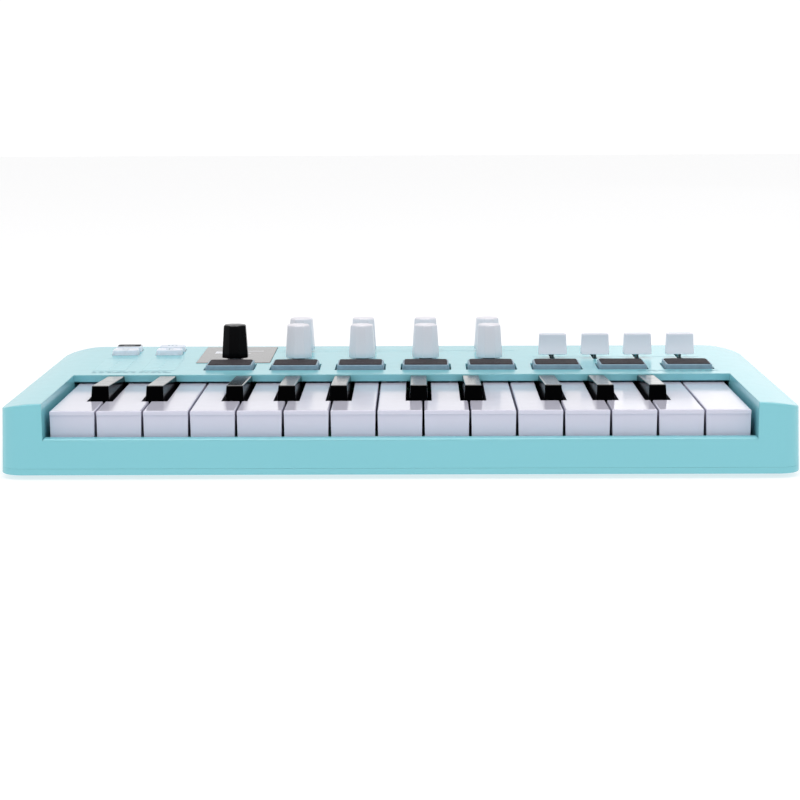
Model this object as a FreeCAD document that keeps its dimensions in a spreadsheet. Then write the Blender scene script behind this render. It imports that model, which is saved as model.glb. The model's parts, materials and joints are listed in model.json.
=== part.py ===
"""Desktop controller with twenty-five slim keys, eight pads, nine encoders and four faders.

Frame: +X to the player's right, +Y away from the player, +Z up, origin in the middle of
the footprint on the surface that the rubber feet stand on. Every piece is drawn in case
coordinates (x from the middle, y from the front edge, z from the underside of the case)
and its Placement then sets it down in the frame, above the height of the feet.
"""
import FreeCAD, Part
import os
import re

import Sketcher
from FreeCAD import Placement, Rotation, Vector

SIZES = {
    # case
    "case_width": 358, "case_depth": 220, "foot_height": 2, "deck_height": 32.2,
    "sill_height": 15.6, "sill_depth": 7.6, "seam_height": 3, "floor_thick": 2,
    "wall_thick": 2.6, "deck_thick": 2.2, "wall_draft": 1.2, "front_corner": 10,
    "back_corner": 19.5, "edge_round": 0.8, "crown_start": 160, "crown_radius": 64,
    "bay_top_half": 159.5, "bay_low_half": 159.2, "bay_back": 100, "bay_edge_drop": 3.4,
    "cheek_inner": 161.4, "cheek_ceiling": 27, "front_bevel": 7, "back_bevel": 13,
    "back_extra": 0.6, "shell_play": 0.4, "seam_gap": 0.05,
    # keys
    "white_pitch": 21, "white_top": 27.9, "white_gap": 0.9, "skirt_gap": 1.5,
    "lip_front": 8, "lip_tall": 2, "skirt_front": 8.5, "skirt_bottom": 12,
    "skirt_back_bottom": 17, "skirt_ramp_front": 16, "skirt_ramp_back": 24,
    "key_wall": 1.5, "key_roof": 2, "key_round": 0.6, "notch_front": 38.5,
    "notch_width": 12, "key_back": 110, "black_base": 8.4, "black_crest": 7.6,
    "black_front": 39.6, "black_front_top": 34.9, "black_back_top": 31.8,
    "black_lean": 1.6, "black_round": 0.6, "black_gap": 0.6, "axle_depth": 126,
    "axle_height": 17, "axle_radius": 1.7, "hook_radius": 2, "hook_mouth": 3,
    "tail_width": 9.6, "tail_bottom": 13.4, "tail_top": 20.6, "tail_end": 130.2,
    "rib_front": 62, "rib_back": 68,
    # key frame, in case coordinates
    "frame_front": 20, "frame_long": 114, "frame_sheet": 1.6, "frame_play": 0.4,
    "axle_block_front": 119, "axle_block_long": 15, "axle_block_tall": 6,
    "rail_front": 51, "rail_back": 75, "rail_wide": 4, "rail_tall": 3,
    "post_front": 22, "post_wide": 5, "post_deep": 3.5, "post_tall": 12.6,
    "web_front": 120, "web_thick": 1.4, "web_long": 13, "web_tall": 16.6,
    # pads
    "pad_pitch": 32.5, "first_pad": -85.5, "pad_row": 129.6, "pad_hole": 24.9,
    "pad_side": 24, "pad_top": 34.5, "pad_flange": 26.8, "pad_taper": 6,
    "pad_foot": 12, "pad_corner": 2,
    # plungers of pads and buttons
    "foot_lift": 0.9, "flange_low": 28.4, "plunger_round": 0.7,
    # encoders and faders
    "knob_row": 161.8, "knob_flats": 13.1, "knob_taper": 3.3, "knob_low": 33.3,
    "knob_tall": 17.1, "knob_round": 0.8, "knob_roof": 3, "shaft_radius": 3,
    "shaft_low": 25.2, "shaft_gap": 0.4, "bush_radius": 3.5, "bush_top": 32.8,
    "running_gap": 0.1, "encoder_side": 12, "part_tall": 6.2, "fader_rest": 162.9,
    "fader_travel": 30, "fader_end": 8, "fader_wide": 9, "stem_thick": 1.2,
    "stem_deep": 4, "stem_low": 26, "cap_low": 34.4, "cap_tall": 10.6,
    "cap_wide": 14.5, "cap_deep": 6.2, "cap_taper": 2.4, "cap_corner": 0.9,
    "cap_round": 0.6,
    # buttons
    "button_wide": 13.4, "button_deep": 10, "button_top": 34.9, "button_taper": 3,
    "button_flange": 2, "button_foot": 6, "button_corner": 1.2,
    "left_column": -144.5, "column_pitch": 22.8, "near_buttons": 185.4,
    "far_buttons": 201,
    # plate and strips
    "plate_wide": 37.5, "plate_front": 146, "plate_back": 214, "plate_thick": 1.2,
    "plate_lift": 0.2, "plate_play": 0.15, "strip_column": -144.4, "strip_pitch": 24.1,
    "strip_wide": 15, "strip_front": 117, "strip_back": 166, "strip_thick": 0.8,
    "strip_sink": 0.1, "strip_play": 0.15,
    # boards
    "board_top": 23.5, "board_thick": 1.6, "board_front": 114, "board_back": 210,
    "board_half": 156, "window_wide": 26, "window_front": 181, "window_back": 209,
    "contact_front": 50, "contact_long": 30, "contact_low": 6.6, "dome_low": 3.2,
    "dome_high": 2.2, "dome_tall": 3.9,
    # fasteners and feet
    "screw_radius": 1.25, "screw_long": 7.4, "head_radius": 2.7, "head_tall": 1.8,
    "head_sink": 0.4, "drive_long": 2.8, "drive_wide": 0.7, "drive_deep": 0.9,
    "boss_radius": 3.3, "boss_column": 168, "boss_low": 6, "post_rise": 3.9,
    "foot_radius": 7, "foot_sink": 0.8, "foot_draft": 0.6,
    # rear sockets
    "mouth_sink": 1.4, "jack_radius": 3.25, "jack_block_wide": 16, "jack_block_front": 30,
    "jack_block_long": 26, "jack_drop": 6.4, "jack_nose": 1.6, "jack_bore": 27,
    "din_radius": 6.8, "din_block_wide": 20, "din_block_front": 22, "din_block_long": 18,
    "din_drop": 9.2, "din_below": 8.4, "din_nose": 0.8, "din_well": 9, "nose_long": 5,
    "usb_wide": 9, "usb_tall": 3.2, "usb_long": 8, "usb_wall": 0.35, "usb_floor": 1.5,
    "tongue_wide": 6.6, "tongue_long": 6, "tongue_thick": 0.7,
}
OCTAVES = 2
PADS = 8
KNOBS_ACROSS = 4
FADERS = 4
WHITES_PER_OCTAVE = 7
WHITE_KEYS = OCTAVES * WHITES_PER_OCTAVE + 1
# Keys between one C and the next, in the order they lie: True is a raised black key.
OCTAVE_ORDER = [False, True, False, True, False, False, True, False, True, False, True, False]
LOW_SLOTS = 5
SLIT = 0.3
KNOB_TURNS = [7, -6, 12, 3, -9, 4, -3, 9]
WORD = re.compile(r"[a-z]+(?:_[a-z]+)+")

doc = FreeCAD.newDocument("keyboard_controller")
sheet = doc.addObject("Spreadsheet::Sheet", "sizes")
for row, (alias, number) in enumerate(SIZES.items(), start=1):
    sheet.set(f"A{row}", alias)
    sheet.set(f"B{row}", str(number))
    sheet.setAlias(f"B{row}", alias)
doc.recompute()


# ---------------------------------------------------------------- formulas and placing
def formula(text):
    """Expression in which each driving dimension is read from the sheet."""
    return WORD.sub(lambda word: f"sizes.{word[0]}" if word[0] in SIZES else word[0], str(text))


def value(text):
    """Number that a formula gives now."""
    return float(sheet.evalExpression(formula(text)))


def bind(item, **formulas):
    """Bind properties of an object to formulas of the sheet."""
    for name, text in formulas.items():
        item.setExpression(name, formula(text))
    return item


def set_place(item, x="0", y="0", z="0"):
    """Bind where an object's own origin lies."""
    for axis, text in zip("xyz", (x, y, z)):
        item.setExpression(f"Placement.Base.{axis}", formula(text))
    return item


def node(item, name, x="0", y="0", turn=0):
    """Give a finished piece its name and set it down in the frame."""
    item.Label = name
    item.Placement = Placement(Vector(), Rotation(Vector(0, 0, 1), turn))
    set_place(item, x, f"{y} - case_depth / 2", "foot_height")
    nodes.append(item)
    return item


nodes = []


# ---------------------------------------------------------------- part design helpers
def new_body(name):
    """Empty body of one moulded or machined piece."""
    return doc.addObject("PartDesign::Body", name + "_body")


def sketch(body, plane, height="0"):
    """Sketch on one of the body's own planes, moved by height along the plane's normal."""
    item = body.newObject("Sketcher::SketchObject", "Sketch")
    support = [found for found in body.Origin.OriginFeatures if found.Role == plane][0]
    item.AttachmentSupport = [(support, "")]
    item.MapMode = "FlatFace"
    item.setExpression("AttachmentOffset.Base.z", formula(height))
    return item


def outline(item, points):
    """Closed run of lines through points given as pairs of formulas."""
    first = item.GeometryCount
    count = len(points)
    spots = [Vector(value(x), value(y), 0) for x, y in points]
    for index in range(count):
        item.addGeometry(Part.LineSegment(spots[index], spots[(index + 1) % count]))
    for index in range(count):
        after = first + (index + 1) % count
        item.addConstraint(Sketcher.Constraint("Coincident", first + index, 2, after, 1))
    for index, pair in enumerate(points):
        for kind, number, text, axis in zip(("DistanceX", "DistanceY"), spots[index], pair, (-2, -1)):
            if abs(number) < 1e-9:
                item.addConstraint(Sketcher.Constraint("PointOnObject", first + index, 1, axis))
                continue
            driven = item.addConstraint(Sketcher.Constraint(kind, first + index, 1, number))
            item.setExpression(f"Constraints[{driven}]", formula(text))
    return item


def rectangle(item, x_low, x_high, y_low, y_high):
    """Closed rectangle between four formulas."""
    return outline(item, [(x_low, y_low), (x_high, y_low), (x_high, y_high), (x_low, y_high)])


def circle(item, x, y, radius):
    """Circle with its centre and radius given by formulas."""
    index = item.addGeometry(Part.Circle(Vector(value(x), value(y), 0), Vector(0, 0, 1), value(radius)))
    for kind, text, axis in (("DistanceX", x, -2), ("DistanceY", y, -1)):
        if abs(value(text)) < 1e-9:
            item.addConstraint(Sketcher.Constraint("PointOnObject", index, 3, axis))
            continue
        driven = item.addConstraint(Sketcher.Constraint(kind, index, 3, value(text)))
        item.setExpression(f"Constraints[{driven}]", formula(text))
    driven = item.addConstraint(Sketcher.Constraint("Radius", index, value(radius)))
    item.setExpression(f"Constraints[{driven}]", formula(radius))
    return item


def extrude(body, kind, profile, length, away=False, middle=False, taper=None):
    """Pad or pocket of a sketch; away turns it to the other side of the sketch."""
    item = body.newObject("PartDesign::" + kind, kind)
    item.Profile = profile
    bind(item, Length=length)
    item.Reversed = away
    if middle:
        item.SideType = "Symmetric"
    if taper is not None:
        bind(item, TaperAngle=taper)
    doc.recompute()
    return item


def pad(body, profile, length, **options):
    """Material added along a sketch's normal."""
    return extrude(body, "Pad", profile, length, **options)


def pocket(body, profile, length, **options):
    """Material taken away; the volume has to fall."""
    before = body.Shape.Volume
    item = extrude(body, "Pocket", profile, length, **options)
    if not item.Shape.Volume < before - 1e-3:
        raise RuntimeError(f"{body.Label}: {item.Label} cuts nothing")
    return item


def round_edges(body, radius, wanted):
    """Fillet the edges for which wanted(edge) is true."""
    base = body.Tip
    names = [f"Edge{i}" for i, edge in enumerate(base.Shape.Edges, start=1) if wanted(edge)]
    if not names:
        raise RuntimeError(f"{body.Label}: no edge to round")
    item = body.newObject("PartDesign::Fillet", "Fillet")
    item.Base = (base, names)
    bind(item, Radius=radius)
    doc.recompute()
    return item


def repeat_in_x(body, feature, step, count):
    """Row of one feature along +X."""
    item = body.newObject("PartDesign::LinearPattern", "Row")
    item.Originals = [feature]
    support = [found for found in body.Origin.OriginFeatures if found.Role == "X_Axis"][0]
    item.Direction = (support, [""])
    item.Occurrences = count
    bind(item, Length=f"({step}) * {count - 1}")
    body.Tip = item
    doc.recompute()
    return item


def upright(edge):
    """True for an edge that runs mostly along Z."""
    start, end = edge.Vertexes[0].Point, edge.Vertexes[-1].Point
    return abs(end.z - start.z) > 3 * max(abs(end.x - start.x), abs(end.y - start.y), 0.01)


def along(edge, axis):
    """True for a straight edge along one axis, 0 for X and 1 for Y."""
    start, end = edge.Vertexes[0].Point, edge.Vertexes[-1].Point
    run = [abs(end[i] - start[i]) for i in range(3)]
    return run[axis] > 1 and run[axis] > 8 * max(run[i] for i in range(3) if i != axis)


def at_height(edge, text, slack=0.05):
    """True for an edge whose middle lies at a height given by a formula."""
    return abs(edge.CenterOfMass.z - value(text)) < slack


# ---------------------------------------------------------------- primitive helpers
def box(x, y, z, wide, deep, tall):
    """Block from its low corner."""
    item = doc.addObject("Part::Box", "Box")
    bind(item, Length=wide, Width=deep, Height=tall)
    return set_place(item, x, y, z)


def upright_rod(x, y, z, radius, tall):
    """Cylinder along +Z from its low end."""
    item = doc.addObject("Part::Cylinder", "Rod")
    bind(item, Radius=radius, Height=tall)
    return set_place(item, x, y, z)


def level_rod(x, y, z, radius, long, direction):
    """Cylinder along +X or +Y from its low end."""
    item = doc.addObject("Part::Cylinder", "Rod")
    axis, angle = (Vector(0, 1, 0), 90) if direction == "X" else (Vector(1, 0, 0), -90)
    item.Placement = Placement(Vector(), Rotation(axis, angle))
    bind(item, Radius=radius, Height=long)
    return set_place(item, x, y, z)


def fuse(pieces):
    """One solid from several."""
    item = doc.addObject("Part::MultiFuse", "Fusion")
    item.Shapes = pieces
    item.Refine = True
    return item


def cut(base, tools):
    """Base with every tool taken out of it."""
    item = doc.addObject("Part::Cut", "Cut")
    item.Base = base
    item.Tool = tools[0] if len(tools) == 1 else fuse(tools)
    return item


def group(pieces):
    """Separate solids that share one node."""
    item = doc.addObject("Part::Compound", "Group")
    item.Links = pieces
    return item


# ---------------------------------------------------------------- where things lie
def slot_centre(index):
    """Middle of a key's slot at the axle, which all keys of an octave share out."""
    octave, place = divmod(index, len(OCTAVE_ORDER))
    start = f"({octave * WHITES_PER_OCTAVE} - {WHITE_KEYS / 2}) * white_pitch"
    if place < LOW_SLOTS:
        return f"({start} + {place + 0.5} * 3 / 5 * white_pitch)"
    return f"({start} + (3 + {place - LOW_SLOTS + 0.5} * 4 / 7) * white_pitch)"


def slot_edges():
    """Every boundary between two slots, and the two outer ones."""
    low, high = "0.3 * white_pitch", "2 / 7 * white_pitch"
    keys = OCTAVES * len(OCTAVE_ORDER) + 1
    edges = [f"({slot_centre(0)} - {low})"]
    for index in range(keys):
        half = low if index % len(OCTAVE_ORDER) < LOW_SLOTS else high
        edges.append(f"({slot_centre(index)} + {half})")
    return edges


def pad_x(index):
    """Middle of a pad column."""
    return f"(first_pad + {index} * pad_pitch)"


def fader_x(index):
    """Middle of a fader; four share the width between the last three pads."""
    return f"(first_pad + 5 * pad_pitch + {index} * pad_pitch * 2 / 3)"


def strip_x(index):
    """Middle of a touch strip."""
    return f"(strip_column + {index} * strip_pitch)"


def knob_place(index):
    """Column and row of one of the eight encoders, front row first."""
    row, column = divmod(index, KNOBS_ACROSS)
    return pad_x(column + 1), f"(knob_row + {row} * pad_pitch)"


def button_place(index):
    """Column and row of one of the four buttons, near row first."""
    row, column = divmod(index, 2)
    return f"(left_column + {column} * column_pitch)", ("near_buttons", "far_buttons")[row]


CASE_SCREWS = [(f"{side} * boss_column", depth) for side in (-1, 1) for depth in ("16", "112", "200")]
BOARD_SCREWS = [(x, y) for x in ("-107.4", "-68", "60", "152") for y in ("148", "206")]
FEET = [(f"{side} * 150", depth) for side in (-1, 1) for depth in ("26", "194")]
USB_X, DIN_X, JACK_X, LOCK_X = "118", "84", "46", "-140"
USB_Z = "(board_top - board_thick - usb_tall / 2)"
DIN_Z = "(board_top - board_thick - din_drop)"
JACK_Z = "(board_top - board_thick - jack_drop)"
PLATE_X = pad_x(0)
SHAFT_TOP = "(knob_low + knob_tall - knob_roof - shaft_gap)"
MOUTH = "(case_depth - mouth_sink)"
BOARD_LOW = "(board_top - board_thick)"
FRAME_HALF = "(bay_low_half - frame_play)"


# ---------------------------------------------------------------- case
def case_block(body, low, tall):
    """Drafted block with the plan of the case and rounded upright corners."""
    plan = sketch(body, "XY_Plane", low)
    inset = f"({low}) * tan(wall_draft)"
    rectangle(plan, f"-case_width / 2 + {inset}", f"case_width / 2 - {inset}",
              inset, f"case_depth - {inset}")
    pad(body, plan, tall, taper="-wall_draft")
    middle = value("case_depth / 2")
    round_edges(body, "front_corner", lambda e: upright(e) and e.CenterOfMass.y < middle)
    round_edges(body, "back_corner", lambda e: upright(e) and e.CenterOfMass.y > middle
                and abs(e.CenterOfMass.x) > value("case_width / 2 - wall_thick") and e.Length > 2)


def cut_crown(body):
    """Roll the deck down towards both sides on a wide arc."""
    profile = sketch(body, "XZ_Plane")
    radius, start, top = value("crown_radius"), value("crown_start"), value("deck_height")
    reach = value("case_width / 2 + 1") - start
    drop = radius - (radius * radius - reach * reach) ** 0.5
    for side in (-1, 1):
        first = profile.GeometryCount
        lift = Vector(side * start, top + 1, 0)
        corner = Vector(side * (start + reach), top + 1, 0)
        edge = Vector(side * (start + reach), top - drop, 0)
        centre = Vector(side * start, top - radius, 0)
        half = 0.5 * reach / radius
        middle = centre + Vector(side * radius * half, radius * (1 - half * half) ** 0.5, 0)
        begin = Vector(side * start, top, 0)
        for piece in (Part.LineSegment(begin, lift), Part.LineSegment(lift, corner),
                      Part.LineSegment(corner, edge),
                      Part.Arc(edge, middle, begin)):
            profile.addGeometry(piece)
        for index in range(first, first + 4):
            profile.addConstraint(Sketcher.Constraint("Block", index))
    pocket(body, profile, "case_depth + 2")


def hollow_sides(body):
    """Empty both cheeks and the deck's two margins from below."""
    profile = sketch(body, "XY_Plane", "seam_height")
    outer = "(case_width / 2 - wall_thick)"
    back = "(case_depth - wall_thick - back_extra)"
    for side in (-1, 1):
        shape = [("cheek_inner", "wall_thick"), (f"{outer} - front_bevel", "wall_thick"),
                 (outer, "wall_thick + front_bevel"), (outer, f"{back} - back_bevel"),
                 (f"{outer} - back_bevel", back), ("cheek_inner", back)]
        outline(profile, [(f"{side} * ({x})", y) for x, y in shape])
    pocket(body, profile, "cheek_ceiling - seam_height", away=True)


def open_key_bay(body):
    """Open the front for the keys and leave a sill below them."""
    low = sketch(body, "XY_Plane", "seam_height")
    rectangle(low, "-bay_low_half", "bay_low_half", "sill_depth", "bay_back + deck_thick + 1")
    pocket(body, low, "deck_height - bay_edge_drop - seam_height", away=True)
    under_sill = sketch(body, "XY_Plane", "seam_height")
    rectangle(under_sill, "-bay_low_half", "bay_low_half", "wall_thick", "sill_depth + 1")
    pocket(body, under_sill, "sill_height - deck_thick - seam_height", away=True)
    opening = sketch(body, "XZ_Plane", "2")
    outline(opening, [("-bay_low_half", "sill_height"), ("bay_low_half", "sill_height"),
                      ("bay_top_half", "deck_height"), ("bay_top_half", "deck_height + 2"),
                      ("-bay_top_half", "deck_height + 2"), ("-bay_top_half", "deck_height")])
    pocket(body, opening, "bay_back + 2")
    rear = sketch(body, "XY_Plane", "seam_height")
    rectangle(rear, "-bay_low_half", "bay_low_half", "bay_back + deck_thick",
              "case_depth - wall_thick - back_extra")
    pocket(body, rear, "deck_height - deck_thick - seam_height", away=True)


def cut_deck(body):
    """Openings and recesses that the controls need in the deck."""
    def opening(low_x, high_x, low_y, high_y, depth="deck_thick + 1"):
        profile = sketch(body, "XY_Plane", "deck_height + 0.5")
        rectangle(profile, low_x, high_x, low_y, high_y)
        return pocket(body, profile, f"{depth} + 0.5")

    half = "pad_hole / 2"
    first = opening(f"{pad_x(0)} - {half}", f"{pad_x(0)} + {half}",
                    f"pad_row - {half}", f"pad_row + {half}")
    repeat_in_x(body, first, "pad_pitch", PADS)
    holes = sketch(body, "XY_Plane", "deck_height + 0.5")
    circle(holes, PLATE_X, "knob_row", f"bush_radius + {SLIT}")
    for index in range(2 * KNOBS_ACROSS):
        circle(holes, *knob_place(index), f"bush_radius + {SLIT}")
    pocket(body, holes, "deck_thick + 2")
    slots = sketch(body, "XY_Plane", "deck_height + 0.5")
    for index in range(FADERS):
        rectangle(slots, f"{fader_x(index)} - stem_thick", f"{fader_x(index)} + stem_thick",
                  "fader_rest - stem_deep / 2 - 1",
                  "fader_rest + fader_travel + stem_deep / 2 + 1")
    for index in range(4):
        x, y = button_place(index)
        rectangle(slots, f"{x} - button_wide / 2 - {SLIT}", f"{x} + button_wide / 2 + {SLIT}",
                  f"{y} - button_deep / 2 - {SLIT}", f"{y} + button_deep / 2 + {SLIT}")
    pocket(body, slots, "deck_thick + 2")
    opening(f"{PLATE_X} - plate_wide / 2", f"{PLATE_X} + plate_wide / 2",
            "plate_front", "plate_back", depth="plate_thick - plate_lift")
    opening(f"{PLATE_X} - window_wide / 2", f"{PLATE_X} + window_wide / 2",
            "window_front", "window_back")
    for column in range(2):
        x = strip_x(column)
        opening(f"{x} - strip_wide / 2", f"{x} + strip_wide / 2", "strip_front", "strip_back",
                depth="strip_thick + strip_sink")


def add_bosses(body):
    """Screw bosses under the deck, each with a blind hole from below."""
    case_posts = sketch(body, "XY_Plane", "boss_low")
    for x, y in CASE_SCREWS:
        circle(case_posts, x, y, "boss_radius")
    pad(body, case_posts, "cheek_ceiling - boss_low + 0.5")
    board_posts = sketch(body, "XY_Plane", "board_top")
    for x, y in BOARD_SCREWS:
        circle(board_posts, x, y, "boss_radius")
    pad(body, board_posts, "deck_height - deck_thick - board_top + 0.5")
    for height, spots in (("boss_low", CASE_SCREWS), ("board_top", BOARD_SCREWS)):
        holes = sketch(body, "XY_Plane", height)
        for x, y in spots:
            circle(holes, x, y, "screw_radius")
        pocket(body, holes, "screw_long - 1.2", away=True)


def cut_rear(body):
    """Openings in the back wall for the sockets and the security slot."""
    openings = sketch(body, "XZ_Plane", "-case_depth + 8")
    circle(openings, DIN_X, DIN_Z, "din_radius + 1.1")
    circle(openings, JACK_X, JACK_Z, "jack_radius + 1.9")
    for x, z, wide, tall in ((USB_X, USB_Z, "usb_wide / 2 + 0.5", "usb_tall / 2 + 0.5"),
                             (LOCK_X, "14", "3.5", "1.6")):
        rectangle(openings, f"{x} - ({wide})", f"{x} + ({wide})",
                  f"{z} - ({tall})", f"{z} + ({tall})")
    pocket(body, openings, "10")


def make_top_case():
    """Upper shell: deck, cheeks, front sill and outer walls in one moulding."""
    body = new_body("top_case")
    case_block(body, "seam_height", "deck_height - seam_height")
    cut_crown(body)
    edge_line = value("case_width / 2 - 2.5")
    round_edges(body, "edge_round", lambda e: e.CenterOfMass.z > value("deck_height - 4")
                and (abs(e.CenterOfMass.x) > edge_line or e.CenterOfMass.y > value("case_depth - 3"))
                and not upright(e) and e.CenterOfMass.y > 4)
    hollow_sides(body)
    open_key_bay(body)
    add_bosses(body)
    cut_deck(body)
    cut_rear(body)
    node(body, "top_case")


def make_bottom_case():
    """Shallow tray that closes the case from below."""
    body = new_body("bottom_case")
    case_block(body, "0", "seam_height - seam_gap")
    round_edges(body, "edge_round", lambda e: abs(e.CenterOfMass.z) < 0.02)
    inside = sketch(body, "XY_Plane", "seam_height + 1")
    edge = "(wall_thick + shell_play)"
    side, back = f"(case_width / 2 - {edge})", f"(case_depth - {edge})"
    bevel = "(back_bevel + 1)"
    outline(inside, [(f"-{side} + front_bevel", edge), (f"{side} - front_bevel", edge),
                     (side, f"{edge} + front_bevel"), (side, f"{back} - {bevel}"),
                     (f"{side} - {bevel}", back), (f"-{side} + {bevel}", back),
                     (f"-{side}", f"{back} - {bevel}"), (f"-{side}", f"{edge} + front_bevel")])
    pocket(body, inside, "seam_height + 1 - floor_thick")
    posts = sketch(body, "XY_Plane", "floor_thick - 0.5")
    for x, y in CASE_SCREWS:
        circle(posts, x, y, "boss_radius + 0.7")
    pad(body, posts, "post_rise + 0.5")
    for radius, depth in ((f"head_radius + {SLIT}", "head_sink + head_tall"),
                          (f"screw_radius + {SLIT}", "boss_low + 2")):
        holes = sketch(body, "XY_Plane")
        for x, y in CASE_SCREWS:
            circle(holes, x, y, radius)
        pocket(body, holes, depth, away=True)
    sinks = sketch(body, "XY_Plane")
    for x, y in FEET:
        circle(sinks, x, y, f"foot_radius + {SLIT}")
    pocket(body, sinks, "foot_sink", away=True)
    node(body, "bottom_case")


# ---------------------------------------------------------------- keys
def add_tail(body, offset, front):
    """Rear arm with the hook that snaps over the axle."""
    arm = sketch(body, "YZ_Plane", offset)
    rectangle(arm, front, "tail_end", "tail_bottom", "tail_top")
    pad(body, arm, "tail_width", middle=True)
    eye = sketch(body, "YZ_Plane", offset)
    circle(eye, "axle_depth", "axle_height", "hook_radius")
    pocket(body, eye, "tail_width + 2", middle=True)
    mouth = sketch(body, "YZ_Plane", offset)
    rectangle(mouth, "axle_depth - hook_mouth / 2", "axle_depth + hook_mouth / 2",
              "tail_bottom - 1", "axle_height")
    pocket(body, mouth, "tail_width + 2", middle=True)


def hollow_key(body, low_x, high_x, low_y, high_y, floor, ceiling):
    """Empty part of a key from below."""
    profile = sketch(body, "XY_Plane", floor)
    rectangle(profile, low_x, high_x, low_y, high_y)
    pocket(body, profile, f"{ceiling} - ({floor})", away=True)


def make_white_key(number, index):
    """One white key: shell with a lipped front, notches, cross rib and hooked tail."""
    body = new_body("white_key")
    centre = f"(({number} - {(WHITE_KEYS - 1) / 2}) * white_pitch)"
    half_top, half_low = "(white_pitch - white_gap) / 2", "(white_pitch - skirt_gap) / 2"
    front = sketch(body, "XZ_Plane", "-lip_front")
    outline(front, [(f"-{half_low}", "skirt_bottom"), (half_low, "skirt_bottom"),
                    (half_top, "white_top"), (f"-{half_top}", "white_top")])
    pad(body, front, "key_back - lip_front", away=True)
    round_edges(body, "key_round", lambda e: at_height(e, "white_top") and (along(e, 1) or (
        along(e, 0) and e.CenterOfMass.y < value("lip_front + 1"))))
    under = sketch(body, "YZ_Plane")
    lip_under = "white_top - lip_tall"
    outline(under, [("skirt_ramp_front", "skirt_bottom - 1"), ("skirt_ramp_front", "skirt_bottom"),
                    ("skirt_ramp_back", "skirt_back_bottom"), ("key_back + 1", "skirt_back_bottom"),
                    ("key_back + 1", "skirt_bottom - 1")])
    outline(under, [("lip_front - 1", "skirt_bottom - 1"), ("skirt_front", "skirt_bottom - 1"),
                    ("skirt_front", lip_under), ("lip_front - 1", lip_under)])
    pocket(body, under, "white_pitch * 2", middle=True)
    shank = {-1: f"-{half_low}", 1: half_low}
    for side in (-1, 1):
        beside = index + side
        if beside < 0 or beside > OCTAVES * len(OCTAVE_ORDER):
            continue
        if not OCTAVE_ORDER[beside % len(OCTAVE_ORDER)]:
            continue
        edge = f"({slot_centre(beside)} - {centre} - {side} * notch_width / 2)"
        notch = sketch(body, "XY_Plane", "white_top + 1")
        rectangle(notch, edge, f"{side} * white_pitch", "notch_front", "key_back + 2")
        pocket(body, notch, "white_top + 2 - tail_bottom")
        shank[side] = edge
    ceiling = "white_top - key_roof"
    hollow_key(body, f"-{half_low} + key_wall", f"{half_low} - key_wall", "skirt_front + 2",
               "notch_front - key_wall", "skirt_bottom - 1", ceiling)
    left, right = f"{shank[-1]} + key_wall", f"{shank[1]} - key_wall"
    hollow_key(body, left, right, "notch_front - key_wall - 1", "rib_front",
               "skirt_bottom - 1", ceiling)
    hollow_key(body, left, right, "rib_back", "key_back - 6", "skirt_bottom - 1", ceiling)
    add_tail(body, f"{slot_centre(index)} - {centre}", "key_back - 5")
    node(body, f"white_key_{number + 1:02d}", centre)


def make_black_key(number, index):
    """One black key: raised tapered block, sloping down to the back, with a hooked tail."""
    body = new_body("black_key")
    base, crest = "black_base / 2", "black_crest / 2"
    front = sketch(body, "XZ_Plane", "-black_front")
    outline(front, [(f"-{base}", "skirt_back_bottom"), (base, "skirt_back_bottom"),
                    (base, "white_top"), (crest, "black_front_top"),
                    (f"-{crest}", "black_front_top"), (f"-{base}", "white_top")])
    raised_back = "(bay_back - black_gap)"
    pad(body, front, f"{raised_back} - black_front", away=True)
    slope = sketch(body, "YZ_Plane")
    outline(slope, [("black_front - 1", "white_top - 1"), ("black_front", "white_top - 1"),
                    ("black_front + black_lean", "black_front_top"),
                    (f"{raised_back} + 1", "black_back_top"),
                    (f"{raised_back} + 1", "black_front_top + 2"),
                    ("black_front - 1", "black_front_top + 2")])
    pocket(body, slope, "white_pitch", middle=True)
    round_edges(body, "black_round", lambda e: e.CenterOfMass.z > value("white_top + 1")
                and e.CenterOfMass.y < value("bay_back - 5"))
    rear = sketch(body, "XZ_Plane", f"-{raised_back} + 1")
    rectangle(rear, f"-{base}", base, "skirt_back_bottom", "white_top")
    pad(body, rear, f"key_back - {raised_back} + 1", away=True)
    left, right, ceiling = f"-{crest} + key_wall", f"{crest} - key_wall", "white_top + 1"
    for low_y, high_y in (("black_front + 3", "rib_front"), ("rib_back", "key_back - 14")):
        hollow_key(body, left, right, low_y, high_y, "skirt_back_bottom - 1", ceiling)
    add_tail(body, "0", "key_back - 5")
    node(body, f"black_key_{number + 1:02d}", slot_centre(index))


def make_keys():
    """All twenty-five keys, from the lowest C to the highest."""
    whites = blacks = 0
    for index in range(OCTAVES * len(OCTAVE_ORDER) + 1):
        if OCTAVE_ORDER[index % len(OCTAVE_ORDER)]:
            make_black_key(blacks, index)
            blacks += 1
        else:
            make_white_key(whites, index)
            whites += 1


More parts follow.
